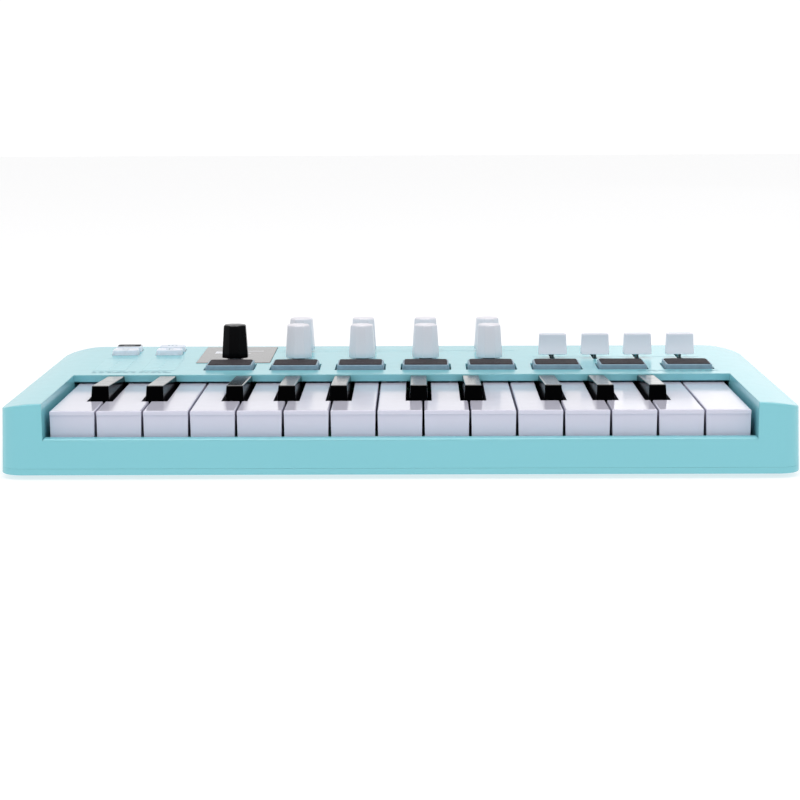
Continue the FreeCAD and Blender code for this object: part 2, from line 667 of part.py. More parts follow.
def make_key_frame():
    """Chassis under the keys: base, guide posts, board rails, webs and axle."""
    base_top = "(floor_thick + frame_sheet)"
    wide = f"2 * {FRAME_HALF}"
    left = f"-{FRAME_HALF}"
    pieces = [box(left, "frame_front", "floor_thick", wide, "frame_long", "frame_sheet"),
              box(left, "axle_block_front", base_top, wide, "axle_block_long", "axle_block_tall")]
    for rail in ("rail_front", "rail_back"):
        pieces.append(box(left, rail, base_top, wide, "rail_wide", "rail_tall"))
    for number in range(WHITE_KEYS):
        centre = f"({number} - {(WHITE_KEYS - 1) / 2}) * white_pitch"
        pieces.append(box(f"{centre} - post_wide / 2", "post_front", base_top,
                          "post_wide", "post_deep", "post_tall"))
    limit = f"({FRAME_HALF} - web_thick / 2)"
    for edge in slot_edges():
        edge = f"max(min({edge}; {limit}); -{limit})"
        pieces.append(box(f"{edge} - web_thick / 2", "web_front", base_top,
                          "web_thick", "web_long", "web_tall"))
    pieces.append(level_rod(left, "axle_depth", "axle_height", "axle_radius", wide, "X"))
    node(fuse(pieces), "key_frame")


# ---------------------------------------------------------------- controls
def square(item, x, y, wide, deep):
    """Rectangle round a centre."""
    return rectangle(item, f"{x} - ({wide}) / 2", f"{x} + ({wide}) / 2",
                     f"{y} - ({deep}) / 2", f"{y} + ({deep}) / 2")


def make_plunger_piece(name, x, y, wide, deep, top, flange, foot, corner, taper):
    """Raised part in a deck opening, a flange that keeps it in and a foot on the board."""
    body = new_body(name)
    for low, high, across, down in (
            ("board_top + foot_lift", "flange_low + 0.1", foot, foot),
            ("flange_low", f"deck_height - deck_thick - {SLIT}", f"({wide}) + ({flange})",
             f"({deep}) + ({flange})")):
        block = sketch(body, "XY_Plane", low)
        square(block, "0", "0", across, down)
        pad(body, block, f"{high} - ({low})")
    upper = sketch(body, "XY_Plane", f"deck_height - deck_thick - {SLIT}")
    square(upper, "0", "0", wide, deep)
    pad(body, upper, f"{top} - deck_height + deck_thick + {SLIT}", taper=taper)
    line = value("deck_height - deck_thick + 0.5")
    round_edges(body, corner, lambda e: upright(e) and e.CenterOfMass.z > line)
    round_edges(body, "plunger_round", lambda e: e.BoundBox.ZMin > value(top) - 0.05)
    node(body, name, x, y)


def make_pads():
    """Eight rubber pads."""
    for index in range(PADS):
        make_plunger_piece(f"pad_{index + 1}", pad_x(index), "pad_row", "pad_side", "pad_side",
                           "pad_top", "pad_flange - pad_side", "pad_foot", "pad_corner",
                           "-pad_taper")


def make_buttons():
    """Four small rectangular buttons."""
    for index in range(4):
        x, y = button_place(index)
        make_plunger_piece(f"button_{index + 1}", x, y, "button_wide", "button_deep",
                           "button_top", "button_flange", "button_foot", "button_corner",
                           "-button_taper")


def make_knob(name, x, y, turn):
    """Soft octagonal cap with a blind bore for its shaft."""
    body = new_body(name)
    plan = sketch(body, "XY_Plane", "knob_low")
    half, part = "knob_flats / 2", "knob_flats / 2 * tan(22.5)"
    outline(plan, [(f"-{part}", f"-{half}"), (part, f"-{half}"), (half, f"-{part}"),
                   (half, part), (part, half), (f"-{part}", half), (f"-{half}", part),
                   (f"-{half}", f"-{part}")])
    pad(body, plan, "knob_tall", taper="-knob_taper")
    round_edges(body, "knob_round", upright)
    round_edges(body, "knob_round", lambda e: e.BoundBox.ZMin > value("knob_low + knob_tall - 0.1"))
    bore = sketch(body, "XY_Plane", "knob_low")
    circle(bore, "0", "0", "shaft_radius + running_gap")
    pocket(body, bore, "knob_tall - knob_roof", away=True)
    node(body, name, x, y, turn)


def make_knobs():
    """Main encoder's cap and shaft, and eight encoder caps."""
    make_knob("main_knob", PLATE_X, "knob_row", 0)
    shaft = upright_rod("0", "0", "shaft_low", "shaft_radius", f"{SHAFT_TOP} - shaft_low")
    node(group([shaft]), "main_encoder_shaft", PLATE_X, "knob_row")
    for index, turn in enumerate(KNOB_TURNS):
        x, y = knob_place(index)
        make_knob(f"knob_{index + 1}", x, y, turn)


def make_faders():
    """Four fader caps, each on its thin stem."""
    for index in range(FADERS):
        name = f"fader_cap_{index + 1}"
        body = new_body(name)
        base = sketch(body, "XY_Plane", "cap_low")
        square(base, "0", "0", "cap_wide", "cap_deep")
        pad(body, base, "cap_tall", taper="-cap_taper")
        round_edges(body, "cap_corner", upright)
        round_edges(body, "cap_round", lambda e: e.BoundBox.ZMin > value("cap_low + cap_tall - 0.1"))
        stem = sketch(body, "XY_Plane", "stem_low")
        square(stem, "0", "0", "stem_thick", "stem_deep")
        pad(body, stem, "cap_low + 0.5 - stem_low")
        node(body, name, fader_x(index), "fader_rest")


def make_control_plate():
    """Dark glossy plate over the display, with a hole for the main encoder."""
    plate = box(f"{PLATE_X} - plate_wide / 2 + plate_play", "plate_front + plate_play",
                "deck_height + plate_lift - plate_thick", "plate_wide - 2 * plate_play",
                "plate_back - plate_front - 2 * plate_play", "plate_thick")
    hole = upright_rod(PLATE_X, "knob_row", "deck_height - 3", f"bush_radius + {2 * SLIT}", "6")
    node(cut(plate, [hole]), "control_plate")


def make_touch_strips():
    """Two flush touch strips for bend and modulation."""
    strips = []
    for column in range(2):
        strips.append(box(f"{strip_x(column)} - strip_wide / 2 + strip_play",
                          "strip_front + strip_play", "deck_height - strip_sink - strip_thick",
                          "strip_wide - 2 * strip_play",
                          "strip_back - strip_front - 2 * strip_play", "strip_thick"))
    node(group(strips), "touch_strips")


# ---------------------------------------------------------------- boards and sockets
def make_encoder_bodies():
    """Nine encoder bodies; the main one is bored for its sliding shaft."""
    pieces = []
    places = [(PLATE_X, "knob_row")] + [knob_place(index) for index in range(2 * KNOBS_ACROSS)]
    for index, (x, y) in enumerate(places):
        block = box(f"{x} - encoder_side / 2", f"{y} - encoder_side / 2", "board_top",
                    "encoder_side", "encoder_side", "part_tall")
        bush = upright_rod(x, y, "board_top + part_tall - 0.2", "bush_radius",
                           "bush_top - board_top - part_tall + 0.2")
        if index == 0:
            bore = upright_rod(x, y, "board_top + 0.8", "shaft_radius + running_gap", "12")
            pieces.append(cut(fuse([block, bush]), [bore]))
            continue
        shaft = upright_rod(x, y, "board_top + part_tall - 0.2", "shaft_radius",
                            f"{SHAFT_TOP} - board_top - part_tall + 0.2")
        pieces.append(fuse([block, bush, shaft]))
    return pieces


def make_fader_bodies():
    """Four slide potentiometers, each with a long slot for the stem."""
    pieces = []
    for index in range(FADERS):
        x = fader_x(index)
        block = box(f"{x} - fader_wide / 2", "fader_rest - fader_end", "board_top", "fader_wide",
                    "fader_travel + 2 * fader_end", "part_tall")
        slot = box(f"{x} - stem_thick", "fader_rest - stem_deep / 2 - 1", "board_top + 1",
                   "2 * stem_thick", "fader_travel + stem_deep + 2", "8")
        pieces.append(cut(block, [slot]))
    return pieces


def make_circuit_boards():
    """Control board with its soldered parts, and the key contact board with its domes."""
    board = box("-board_half", "board_front", "board_top - board_thick", "2 * board_half",
                "board_back - board_front", "board_thick")
    holes = [upright_rod(x, y, "board_top - 4", f"screw_radius + {SLIT}", "6")
             for x, y in BOARD_SCREWS]
    display = box(f"{PLATE_X} - window_wide / 2 + {SLIT}", f"window_front + {SLIT}", "board_top",
                  f"window_wide - {2 * SLIT}", f"window_back - window_front - {2 * SLIT}",
                  "deck_height + plate_lift - plate_thick - board_top")
    contacts = [box("-board_half + 1", "contact_front", "contact_low", "2 * board_half - 2",
                    "contact_long", "board_thick")]
    for index in range(OCTAVES * len(OCTAVE_ORDER) + 1):
        dome = doc.addObject("Part::Cone", "Dome")
        bind(dome, Radius1="dome_low", Radius2="dome_high", Height="dome_tall")
        set_place(dome, slot_centre(index), "(rib_front + rib_back) / 2",
                  "contact_low + board_thick - 0.1")
        contacts.append(dome)
    pieces = [cut(board, holes), display, fuse(contacts)]
    node(group(pieces + make_encoder_bodies() + make_fader_bodies()), "circuit_boards")


def make_rear_sockets():
    """USB, five-pin and pedal sockets that hang under the back of the control board."""
    shell = box(f"{USB_X} - usb_wide / 2", f"{MOUTH} - usb_long", f"{USB_Z} - usb_tall / 2",
                "usb_wide", "usb_long", "usb_tall")
    room = box(f"{USB_X} - usb_wide / 2 + usb_wall", f"{MOUTH} - usb_long + usb_floor",
               f"{USB_Z} - usb_tall / 2 + usb_wall", "usb_wide - 2 * usb_wall", "usb_long + 2",
               "usb_tall - 2 * usb_wall")
    tongue = box(f"{USB_X} - tongue_wide / 2", f"{MOUTH} - usb_long + 1",
                 f"{USB_Z} - tongue_thick / 2", "tongue_wide", "tongue_long", "tongue_thick")
    usb = fuse([cut(shell, [room]), tongue])
    block = box(f"{DIN_X} - din_block_wide / 2", f"{MOUTH} - din_block_front",
                f"{DIN_Z} - din_below", "din_block_wide", "din_block_long",
                f"{BOARD_LOW} - {DIN_Z} + din_below")
    barrel = level_rod(DIN_X, f"{MOUTH} - nose_long", DIN_Z, "din_radius + din_nose",
                       "nose_long", "Y")
    well = level_rod(DIN_X, f"{MOUTH} - din_well", DIN_Z, "din_radius", "din_well + 3", "Y")
    din = cut(fuse([block, barrel]), [well])
    jack_block = box(f"{JACK_X} - jack_block_wide / 2", f"{MOUTH} - jack_block_front",
                     f"{JACK_Z} - jack_drop", "jack_block_wide", "jack_block_long",
                     f"{BOARD_LOW} - {JACK_Z} + jack_drop")
    nose = level_rod(JACK_X, f"{MOUTH} - nose_long", JACK_Z, "jack_radius + jack_nose",
                     "nose_long + 1", "Y")
    bore = level_rod(JACK_X, f"{MOUTH} - jack_bore", JACK_Z, "jack_radius", "jack_bore + 3", "Y")
    node(group([usb, din, cut(fuse([jack_block, nose]), [bore])]), "rear_sockets")


# ---------------------------------------------------------------- feet and fasteners
def make_feet():
    """Four round rubber feet, each sunk a little into the tray."""
    feet = []
    for x, y in FEET:
        foot = doc.addObject("Part::Cone", "Foot")
        bind(foot, Radius1="foot_radius - foot_draft", Radius2="foot_radius",
             Height="foot_height + foot_sink")
        feet.append(set_place(foot, x, y, "-foot_height"))
    node(group(feet), "rubber_feet")


def make_screws():
    """Identical self-tapping screws: six close the case and eight hold the control board."""
    screws = []
    heads = ((CASE_SCREWS, "head_sink"), (BOARD_SCREWS, "board_top - board_thick - head_tall"))
    for spots, head in heads:
        for x, y in spots:
            cap = upright_rod(x, y, head, "head_radius", "head_tall")
            slots = []
            for wide, deep in (("drive_long", "drive_wide"), ("drive_wide", "drive_long")):
                slots.append(box(f"{x} - {wide} / 2", f"{y} - {deep} / 2", f"{head} - 1",
                                 wide, deep, "1 + drive_deep"))
            shank = upright_rod(x, y, f"{head} + head_tall - 0.1", "screw_radius", "screw_long")
            screws.append(cut(fuse([cap, shank]), slots))
    node(group(screws), "case_screws")


# ---------------------------------------------------------------- build and write
def check_and_write():
    """Stop on any failed object, then write each piece to its own file."""
    doc.recompute()
    for item in doc.Objects:
        if "Invalid" in item.State or "Error" in item.State:
            raise RuntimeError(f"{item.Name} ({item.Label}) failed: {item.State}")
    os.makedirs("parts", exist_ok=True)
    for item in nodes:
        if item.Shape.isNull() or not item.Shape.isValid():
            raise RuntimeError(f"{item.Label} has no valid shape")
        item.Shape.exportStep(f"parts/{item.Label}.step")
        edge = item.Shape.BoundBox
        print(f"{item.Label:20s} {len(item.Shape.Solids):3d} solids {item.Shape.Volume:10.0f} mm3"
              f"  x {edge.XMin:.1f}..{edge.XMax:.1f}  y {edge.YMin:.1f}..{edge.YMax:.1f}"
              f"  z {edge.ZMin:.1f}..{edge.ZMax:.1f}")
    print(len(nodes), "nodes")


make_top_case()
make_bottom_case()
make_keys()
make_key_frame()
make_pads()
make_knobs()
make_faders()
make_buttons()
make_control_plate()
make_touch_strips()
make_circuit_boards()
make_rear_sockets()
make_feet()
make_screws()
check_and_write()
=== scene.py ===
"""Looks of a compact keyboard controller: finishes, moulded detail and a plain studio."""
import json
import logging
import math
import random
from dataclasses import dataclass, field
from enum import Enum
from typing import Callable, Optional, Sequence

import bmesh
import bpy
from mathutils import Matrix, Vector


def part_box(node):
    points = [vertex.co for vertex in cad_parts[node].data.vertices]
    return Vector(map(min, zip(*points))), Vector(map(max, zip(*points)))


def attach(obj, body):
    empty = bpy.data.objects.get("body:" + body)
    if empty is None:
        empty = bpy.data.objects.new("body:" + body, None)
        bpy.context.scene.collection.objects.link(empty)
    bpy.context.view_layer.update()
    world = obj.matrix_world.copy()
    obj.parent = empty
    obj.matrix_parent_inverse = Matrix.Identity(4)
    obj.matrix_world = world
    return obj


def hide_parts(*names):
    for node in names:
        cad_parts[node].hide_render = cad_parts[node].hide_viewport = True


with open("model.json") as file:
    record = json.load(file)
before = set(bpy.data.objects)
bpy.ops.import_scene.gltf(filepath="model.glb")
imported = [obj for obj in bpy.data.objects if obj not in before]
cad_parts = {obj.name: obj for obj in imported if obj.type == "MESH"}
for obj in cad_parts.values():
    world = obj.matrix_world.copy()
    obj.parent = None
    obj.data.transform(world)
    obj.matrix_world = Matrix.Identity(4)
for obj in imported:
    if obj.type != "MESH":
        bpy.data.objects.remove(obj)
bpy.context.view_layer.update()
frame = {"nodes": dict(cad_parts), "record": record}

LOG = logging.getLogger("controller")
MM = 0.001
PADS = 8
ENCODERS = 8
FADERS = 4
ROOT = "case"
UP = Vector((0, 0, 1))
PLATE_PROUD = 0.2 * MM
STRIP_MIDDLE = 7.3 * MM
TINY = 2e-6

Point = tuple[float, float]
Level = tuple[float, float]
Plan = Callable[[float], list[Point]]


# ---------------------------------------------------------------- finishes
class Pattern(Enum):
    """Small-scale textures of a moulded finish, as (features per metre, octaves)."""

    FINE_GRAIN = (5200.0, 2.0)
    SPARK = (2600.0, 4.0)
    POLISHED = (260.0, 1.0)


class Shader:
    """Node tree of one material, with short calls for the nodes that finishes share."""

    def __init__(self, name: str) -> None:
        """Start a material with one Principled shader.

        Args:
            name: name of the material.
        """
        self.material = bpy.data.materials.new(name)
        self.material.use_nodes = True
        self.tree = self.material.node_tree
        self.surface = self.tree.nodes["Principled BSDF"]
        self.place = self.node("ShaderNodeTexCoord")

    def node(self, kind: str, **settings: object) -> bpy.types.Node:
        """Add a node.

        Args:
            kind: type name of the node.
            settings: attributes to set on it.

        Returns:
            The new node.
        """
        made = self.tree.nodes.new(kind)
        for name, value in settings.items():
            setattr(made, name, value)
        return made

    def link(self, start: bpy.types.NodeSocket, end: bpy.types.NodeSocket) -> None:
        """Join two sockets."""
        self.tree.links.new(start, end)

    def constant(self, **values: object) -> None:
        """Set values on the Principled shader's own sockets.

        Args:
            values: socket names with underscores for spaces, and their values.
        """
        for name, value in values.items():
            self.surface.inputs[name.replace("_", " ")].default_value = value

    def noise(self, scale: float, detail: float = 3.0, stretch: Vector = Vector((1, 1, 1)),
              soft: float = 0.5) -> bpy.types.NodeSocket:
        """Noise in the object's own space.

        Args:
            scale: features per metre, roughly.
            detail: number of octaves.
            stretch: scale of the space along each axis.
            soft: roughness of the octaves.

        Returns:
            The noise's factor output.
        """
        mapping = self.node("ShaderNodeMapping")
        mapping.inputs["Scale"].default_value = stretch
        texture = self.node("ShaderNodeTexNoise")
        texture.inputs["Scale"].default_value = scale
        texture.inputs["Detail"].default_value = detail
        texture.inputs["Roughness"].default_value = soft
        self.link(self.place.outputs["Object"], mapping.inputs["Vector"])
        self.link(mapping.outputs["Vector"], texture.inputs["Vector"])
        return texture.outputs["Fac"]

    def spread(self, source: bpy.types.NodeSocket, low: float, high: float,
               start: float = 0.3, end: float = 0.7) -> bpy.types.NodeSocket:
        """Map a factor onto a range.

        Args:
            source: the factor.
            low: result where the factor is at start.
            high: result where the factor is at end.
            start: lower factor.
            end: upper factor.

        Returns:
            The mapped value.
        """
        made = self.node("ShaderNodeMapRange")
        for name, value in (("From Min", start), ("From Max", end),
                            ("To Min", low), ("To Max", high)):
            made.inputs[name].default_value = value
        self.link(source, made.inputs["Value"])
        return made.outputs["Result"]

    def shade_by_facing(self, wall: float, top: float) -> bpy.types.NodeSocket:
        """Value that changes from upright walls to faces that look up; it paints shade by which way
        a face looks.

        Args:
            wall: value on upright walls.
            top: value on level faces.

        Returns:
            The value.
        """
        split = self.node("ShaderNodeSeparateXYZ")
        self.link(self.place.outputs["Normal"], split.inputs["Vector"])
        return self.spread(split.outputs["Z"], wall, top, 0.35, 0.9)

    def above(self, height: float, under: float, over: float) -> bpy.types.NodeSocket:
        """Value that changes at a height of the object.

        Args:
            height: the height in metres.
            under: value a millimetre or more below it.
            over: value a millimetre or more above it.

        Returns:
            The value.
        """
        split = self.node("ShaderNodeSeparateXYZ")
        self.link(self.place.outputs["Object"], split.inputs["Vector"])
        return self.spread(split.outputs["Z"], under, over, height - MM, height + MM)

    def mix(self, factor: bpy.types.NodeSocket, first: object,
            second: object) -> bpy.types.NodeSocket:
        """Mix two colours or colour sockets by a factor.

        Args:
            factor: share of the second colour.
            first: colour or socket.
            second: colour or socket.

        Returns:
            The mixed colour.
        """
        made = self.node("ShaderNodeMix", data_type="RGBA")
        self.link(factor, made.inputs[0])
        for socket, value in ((made.inputs[6], first), (made.inputs[7], second)):
            if isinstance(value, bpy.types.NodeSocket):
                self.link(value, socket)
            else:
                socket.default_value = (*value, 1)
        return made.outputs[2]

    def relief(self, height: bpy.types.NodeSocket, depth: float, edge: float = 0.0,
               plain_below: Optional[float] = None) -> None:
        """Drive the normal by a height and soften the edges of the mesh.

        Args:
            height: height factor.
            depth: depth of the relief in metres.
            edge: radius of the softened edges in metres, or 0 for none.
            plain_below: height of the object under which edges stay crisp.
        """
        bump = self.node("ShaderNodeBump")
        bump.inputs["Distance"].default_value = depth
        self.link(height, bump.inputs["Height"])
        if edge > 0:
            soft = self.node("ShaderNodeBevel", samples=6)
            soft.inputs["Radius"].default_value = edge
            if plain_below is not None:
                self.link(self.above(plain_below, 0.1 * MM, edge), soft.inputs["Radius"])
            self.link(soft.outputs["Normal"], bump.inputs["Normal"])
        self.link(bump.outputs["Normal"], self.surface.inputs["Normal"])


@dataclass(frozen=True)
class Finish:
    """Base of every finish; a finish makes its material once."""

    name: str

    def material(self) -> bpy.types.Material:
        """Material of this finish, made on first use."""
        found = bpy.data.materials.get(self.name)
        return found if found else self.make(Shader(self.name))

    def make(self, shader: Shader) -> bpy.types.Material:
        """Build the node tree.

        Args:
            shader: an empty shader that carries this finish's name.

        Returns:
            The finished material.
        """
        raise NotImplementedError

    def dress(self, *objects: bpy.types.Object) -> None:
        """Give objects this finish as their only material.

        Args:
            objects: the objects to dress.
        """
        for item in objects:
            item.data.materials.clear()
            item.data.materials.append(self.material())


@dataclass(frozen=True)
class Moulding(Finish):
    """Injection-moulded plastic with a tool texture, faint mottling and handling marks."""

    colour: tuple[float, float, float] = (0.8, 0.8, 0.8)
    tone: float = 0.05
    rough: tuple[float, float] = (0.35, 0.45)
    pattern: Pattern = Pattern.FINE_GRAIN
    depth: float = 0.00002
    edge: float = 0.0003
    coat: float = 0.0
    gloss: float = 0.5
    # Gloss on upright walls when set: painted shade that dims walls against level faces.
    wall_gloss_painted_shade: Optional[float] = None
    plain_below: Optional[float] = None

    def make(self, shader: Shader) -> bpy.types.Material:
        """Build mottled colour, uneven gloss, the tool texture's relief and, where asked, painted
        shade that turns down the gloss of upright walls.

        Args:
            shader: an empty shader that carries this finish's name.

        Returns:
            The finished material.
        """
        pale = tuple(min(1.0, part * (1 + self.tone)) for part in self.colour)
        deep = tuple(part * (1 - self.tone) for part in self.colour)
        cloud = shader.spread(shader.noise(9.0, 4.0), 0.0, 1.0)
        flow = shader.spread(shader.noise(60.0, 2.0, Vector((1, 0.25, 1))), 0.0, 0.35)
        base = shader.mix(cloud, deep, pale)
        shader.link(shader.mix(flow, base, self.colour), shader.surface.inputs["Base Color"])
        rub = shader.noise(140.0, 5.0, soft=0.6)
        shader.link(shader.spread(rub, *self.rough), shader.surface.inputs["Roughness"])
        texture = shader.noise(*self.pattern.value)
        shader.relief(texture, self.depth, self.edge, self.plain_below)
        shader.constant(IOR=1.49, Coat_Weight=self.coat, Coat_Roughness=0.08,
                        Specular_IOR_Level=self.gloss)
        # Painted shade: upright walls get less gloss than level faces, so they mirror less of the
        # bright room and stay dark as if dark surroundings were reflected in them.
        if self.wall_gloss_painted_shade is not None:
            shader.link(shader.shade_by_facing(self.wall_gloss_painted_shade, self.gloss),
                        shader.surface.inputs["Specular IOR Level"])
        return shader.material


@dataclass(frozen=True)
class Silicone(Finish):
    """Cloudy translucent silicone that lets some light into its depth."""

    colour: tuple[float, float, float] = (0.7, 0.8, 0.9)
    depth: float = 0.0012

    def make(self, shader: Shader) -> bpy.types.Material:
        """Build a soft, scattering rubber with faint flow lines.

        Args:
            shader: an empty shader that carries this finish's name.

        Returns:
            The finished material.
        """
        deep = tuple(part * 0.86 for part in self.colour)
        cloud = shader.spread(shader.noise(320.0, 4.0), 0.0, 1.0)
        shader.link(shader.mix(cloud, deep, self.colour), shader.surface.inputs["Base Color"])
        shader.link(shader.spread(shader.noise(500.0, 3.0), 0.34, 0.48),
                    shader.surface.inputs["Roughness"])
        shader.relief(shader.noise(3000.0, 2.0), 0.00001, 0.0002)
        shader.constant(IOR=1.41, Subsurface_Weight=0.35, Subsurface_Scale=self.depth,
                        Subsurface_Radius=(0.9, 1.0, 1.1))
        return shader.material


@dataclass(frozen=True)
class Rubber(Finish):
    """Dense matt rubber with a dry, slightly dusty surface."""

    colour: tuple[float, float, float] = (0.03, 0.03, 0.035)
    gloss: float = 0.25

    def make(self, shader: Shader) -> bpy.types.Material:
        """Build matt rubber with a pebbled relief and pale dust.

        Args:
            shader: an empty shader that carries this finish's name.

        Returns:
            The finished material.
        """
        dust = tuple(part * 1.5 + 0.012 for part in self.colour)
        film = shader.spread(shader.noise(210.0, 6.0, soft=0.65), 0.0, 0.6, 0.45, 0.75)
        shader.link(shader.mix(film, self.colour, dust), shader.surface.inputs["Base Color"])
        shader.link(shader.spread(shader.noise(900.0, 3.0), 0.6, 0.75),
                    shader.surface.inputs["Roughness"])
        shader.relief(shader.noise(3800.0, 3.0), 0.00003, 0.00025)
        shader.constant(Specular_IOR_Level=self.gloss, IOR=1.5)
        return shader.material


@dataclass(frozen=True)
class Metal(Finish):
    """Bare or plated metal with turning or rolling marks."""

    colour: tuple[float, float, float] = (0.6, 0.6, 0.62)
    rough: tuple[float, float] = (0.22, 0.38)
    lay: Vector = field(default_factory=lambda: Vector((1, 1, 12)))

    def make(self, shader: Shader) -> bpy.types.Material:
        """Build metal whose gloss varies along the lay of its tool marks.

        Args:
            shader: an empty shader that carries this finish's name.

        Returns:
            The finished material.
        """
        marks = shader.noise(420.0, 4.0, self.lay)
        stain = shader.spread(shader.noise(90.0, 5.0), 0.0, 0.5, 0.5, 0.8)
        dull = tuple(part * 0.72 for part in self.colour)
        shader.link(shader.mix(stain, self.colour, dull), shader.surface.inputs["Base Color"])
        shader.link(shader.spread(marks, *self.rough), shader.surface.inputs["Roughness"])
        shader.relief(marks, 0.000008, 0.00015)
        shader.constant(Metallic=1.0)
        return shader.material


@dataclass(frozen=True)
class Ink(Finish):
    """Screen-printed ink, thinner and drier than what it is printed on."""

    colour: tuple[float, float, float] = (0.3, 0.5, 0.55)

    def make(self, shader: Shader) -> bpy.types.Material:
        """Build ink whose coverage is a little uneven.

        Args:
            shader: an empty shader that carries this finish's name.

        Returns:
            The finished material.
        """
        thin = tuple(min(1.0, part * 1.25 + 0.02) for part in self.colour)
        patchy = shader.spread(shader.noise(2400.0, 4.0), 0.0, 0.7, 0.4, 0.7)
        shader.link(shader.mix(patchy, self.colour, thin), shader.surface.inputs["Base Color"])
        shader.link(shader.spread(shader.noise(1500.0, 2.0), 0.6, 0.75),
                    shader.surface.inputs["Roughness"])
        shader.constant(Specular_IOR_Level=0.08)
        return shader.material


@dataclass(frozen=True)
class Glow(Finish):
    """Lit picture elements behind a smoked plate."""

    colour: tuple[float, float, float] = (0.75, 0.78, 0.85)
    strength: float = 0.6

    def make(self, shader: Shader) -> bpy.types.Material:
        """Build a faintly uneven light.

        Args:
            shader: an empty shader that carries this finish's name.

        Returns:
            The finished material.
        """
        dim = tuple(part * 0.8 for part in self.colour)
        lit = shader.mix(shader.noise(1800.0, 2.0), dim, self.colour)
        shader.link(lit, shader.surface.inputs["Base Color"])
        shader.link(lit, shader.surface.inputs["Emission Color"])
        shader.constant(Emission_Strength=self.strength, Roughness=0.25)
        return shader.material


@dataclass(frozen=True)
class SolderMask(Finish):
    """Green circuit board with copper runs that show through the mask."""

    colour: tuple[float, float, float] = (0.012, 0.12, 0.05)

    def make(self, shader: Shader) -> bpy.types.Material:
        """Build the mask, its copper runs and their small relief.

        Args:
            shader: an empty shader that carries this finish's name.

        Returns:
            The finished material.
        """
        runs = shader.node("ShaderNodeTexBrick", offset=0.5, squash=0.6)
        runs.inputs["Scale"].default_value = 120.0
        runs.inputs["Mortar Size"].default_value = 0.06
        shader.link(shader.place.outputs["Object"], runs.inputs["Vector"])
        pale = tuple(part * 1.9 + 0.01 for part in self.colour)
        shader.link(shader.mix(runs.outputs["Fac"], self.colour, pale),
                    shader.surface.inputs["Base Color"])
        shader.link(shader.spread(shader.noise(800.0, 2.0), 0.18, 0.3),
                    shader.surface.inputs["Roughness"])
        shader.relief(runs.outputs["Fac"], 0.00003, 0.0002)
        return shader.material


@dataclass(frozen=True)
class Sweep(Finish):
    """Pale matt sheet of the studio floor, lit from below so that shadows stay faint."""

    colour: tuple[float, float, float] = (0.45, 0.45, 0.455)
    glow: float = 0.62

    def make(self, shader: Shader) -> bpy.types.Material:
        """Build a matt sheet with a slight tooth and an even glow.

        Args:
            shader: an empty shader that carries this finish's name.

        Returns:
            The finished material.
        """
        shade = tuple(part * 0.985 for part in self.colour)
        shader.link(shader.mix(shader.noise(3.0, 3.0), shade, self.colour),
                    shader.surface.inputs["Base Color"])
        shader.relief(shader.noise(900.0, 3.0), 0.00002)
        shader.constant(Roughness=0.9, Specular_IOR_Level=0.1, Emission_Strength=self.glow,
                        Emission_Color=(1.0, 1.0, 1.0, 1.0))
        return shader.material


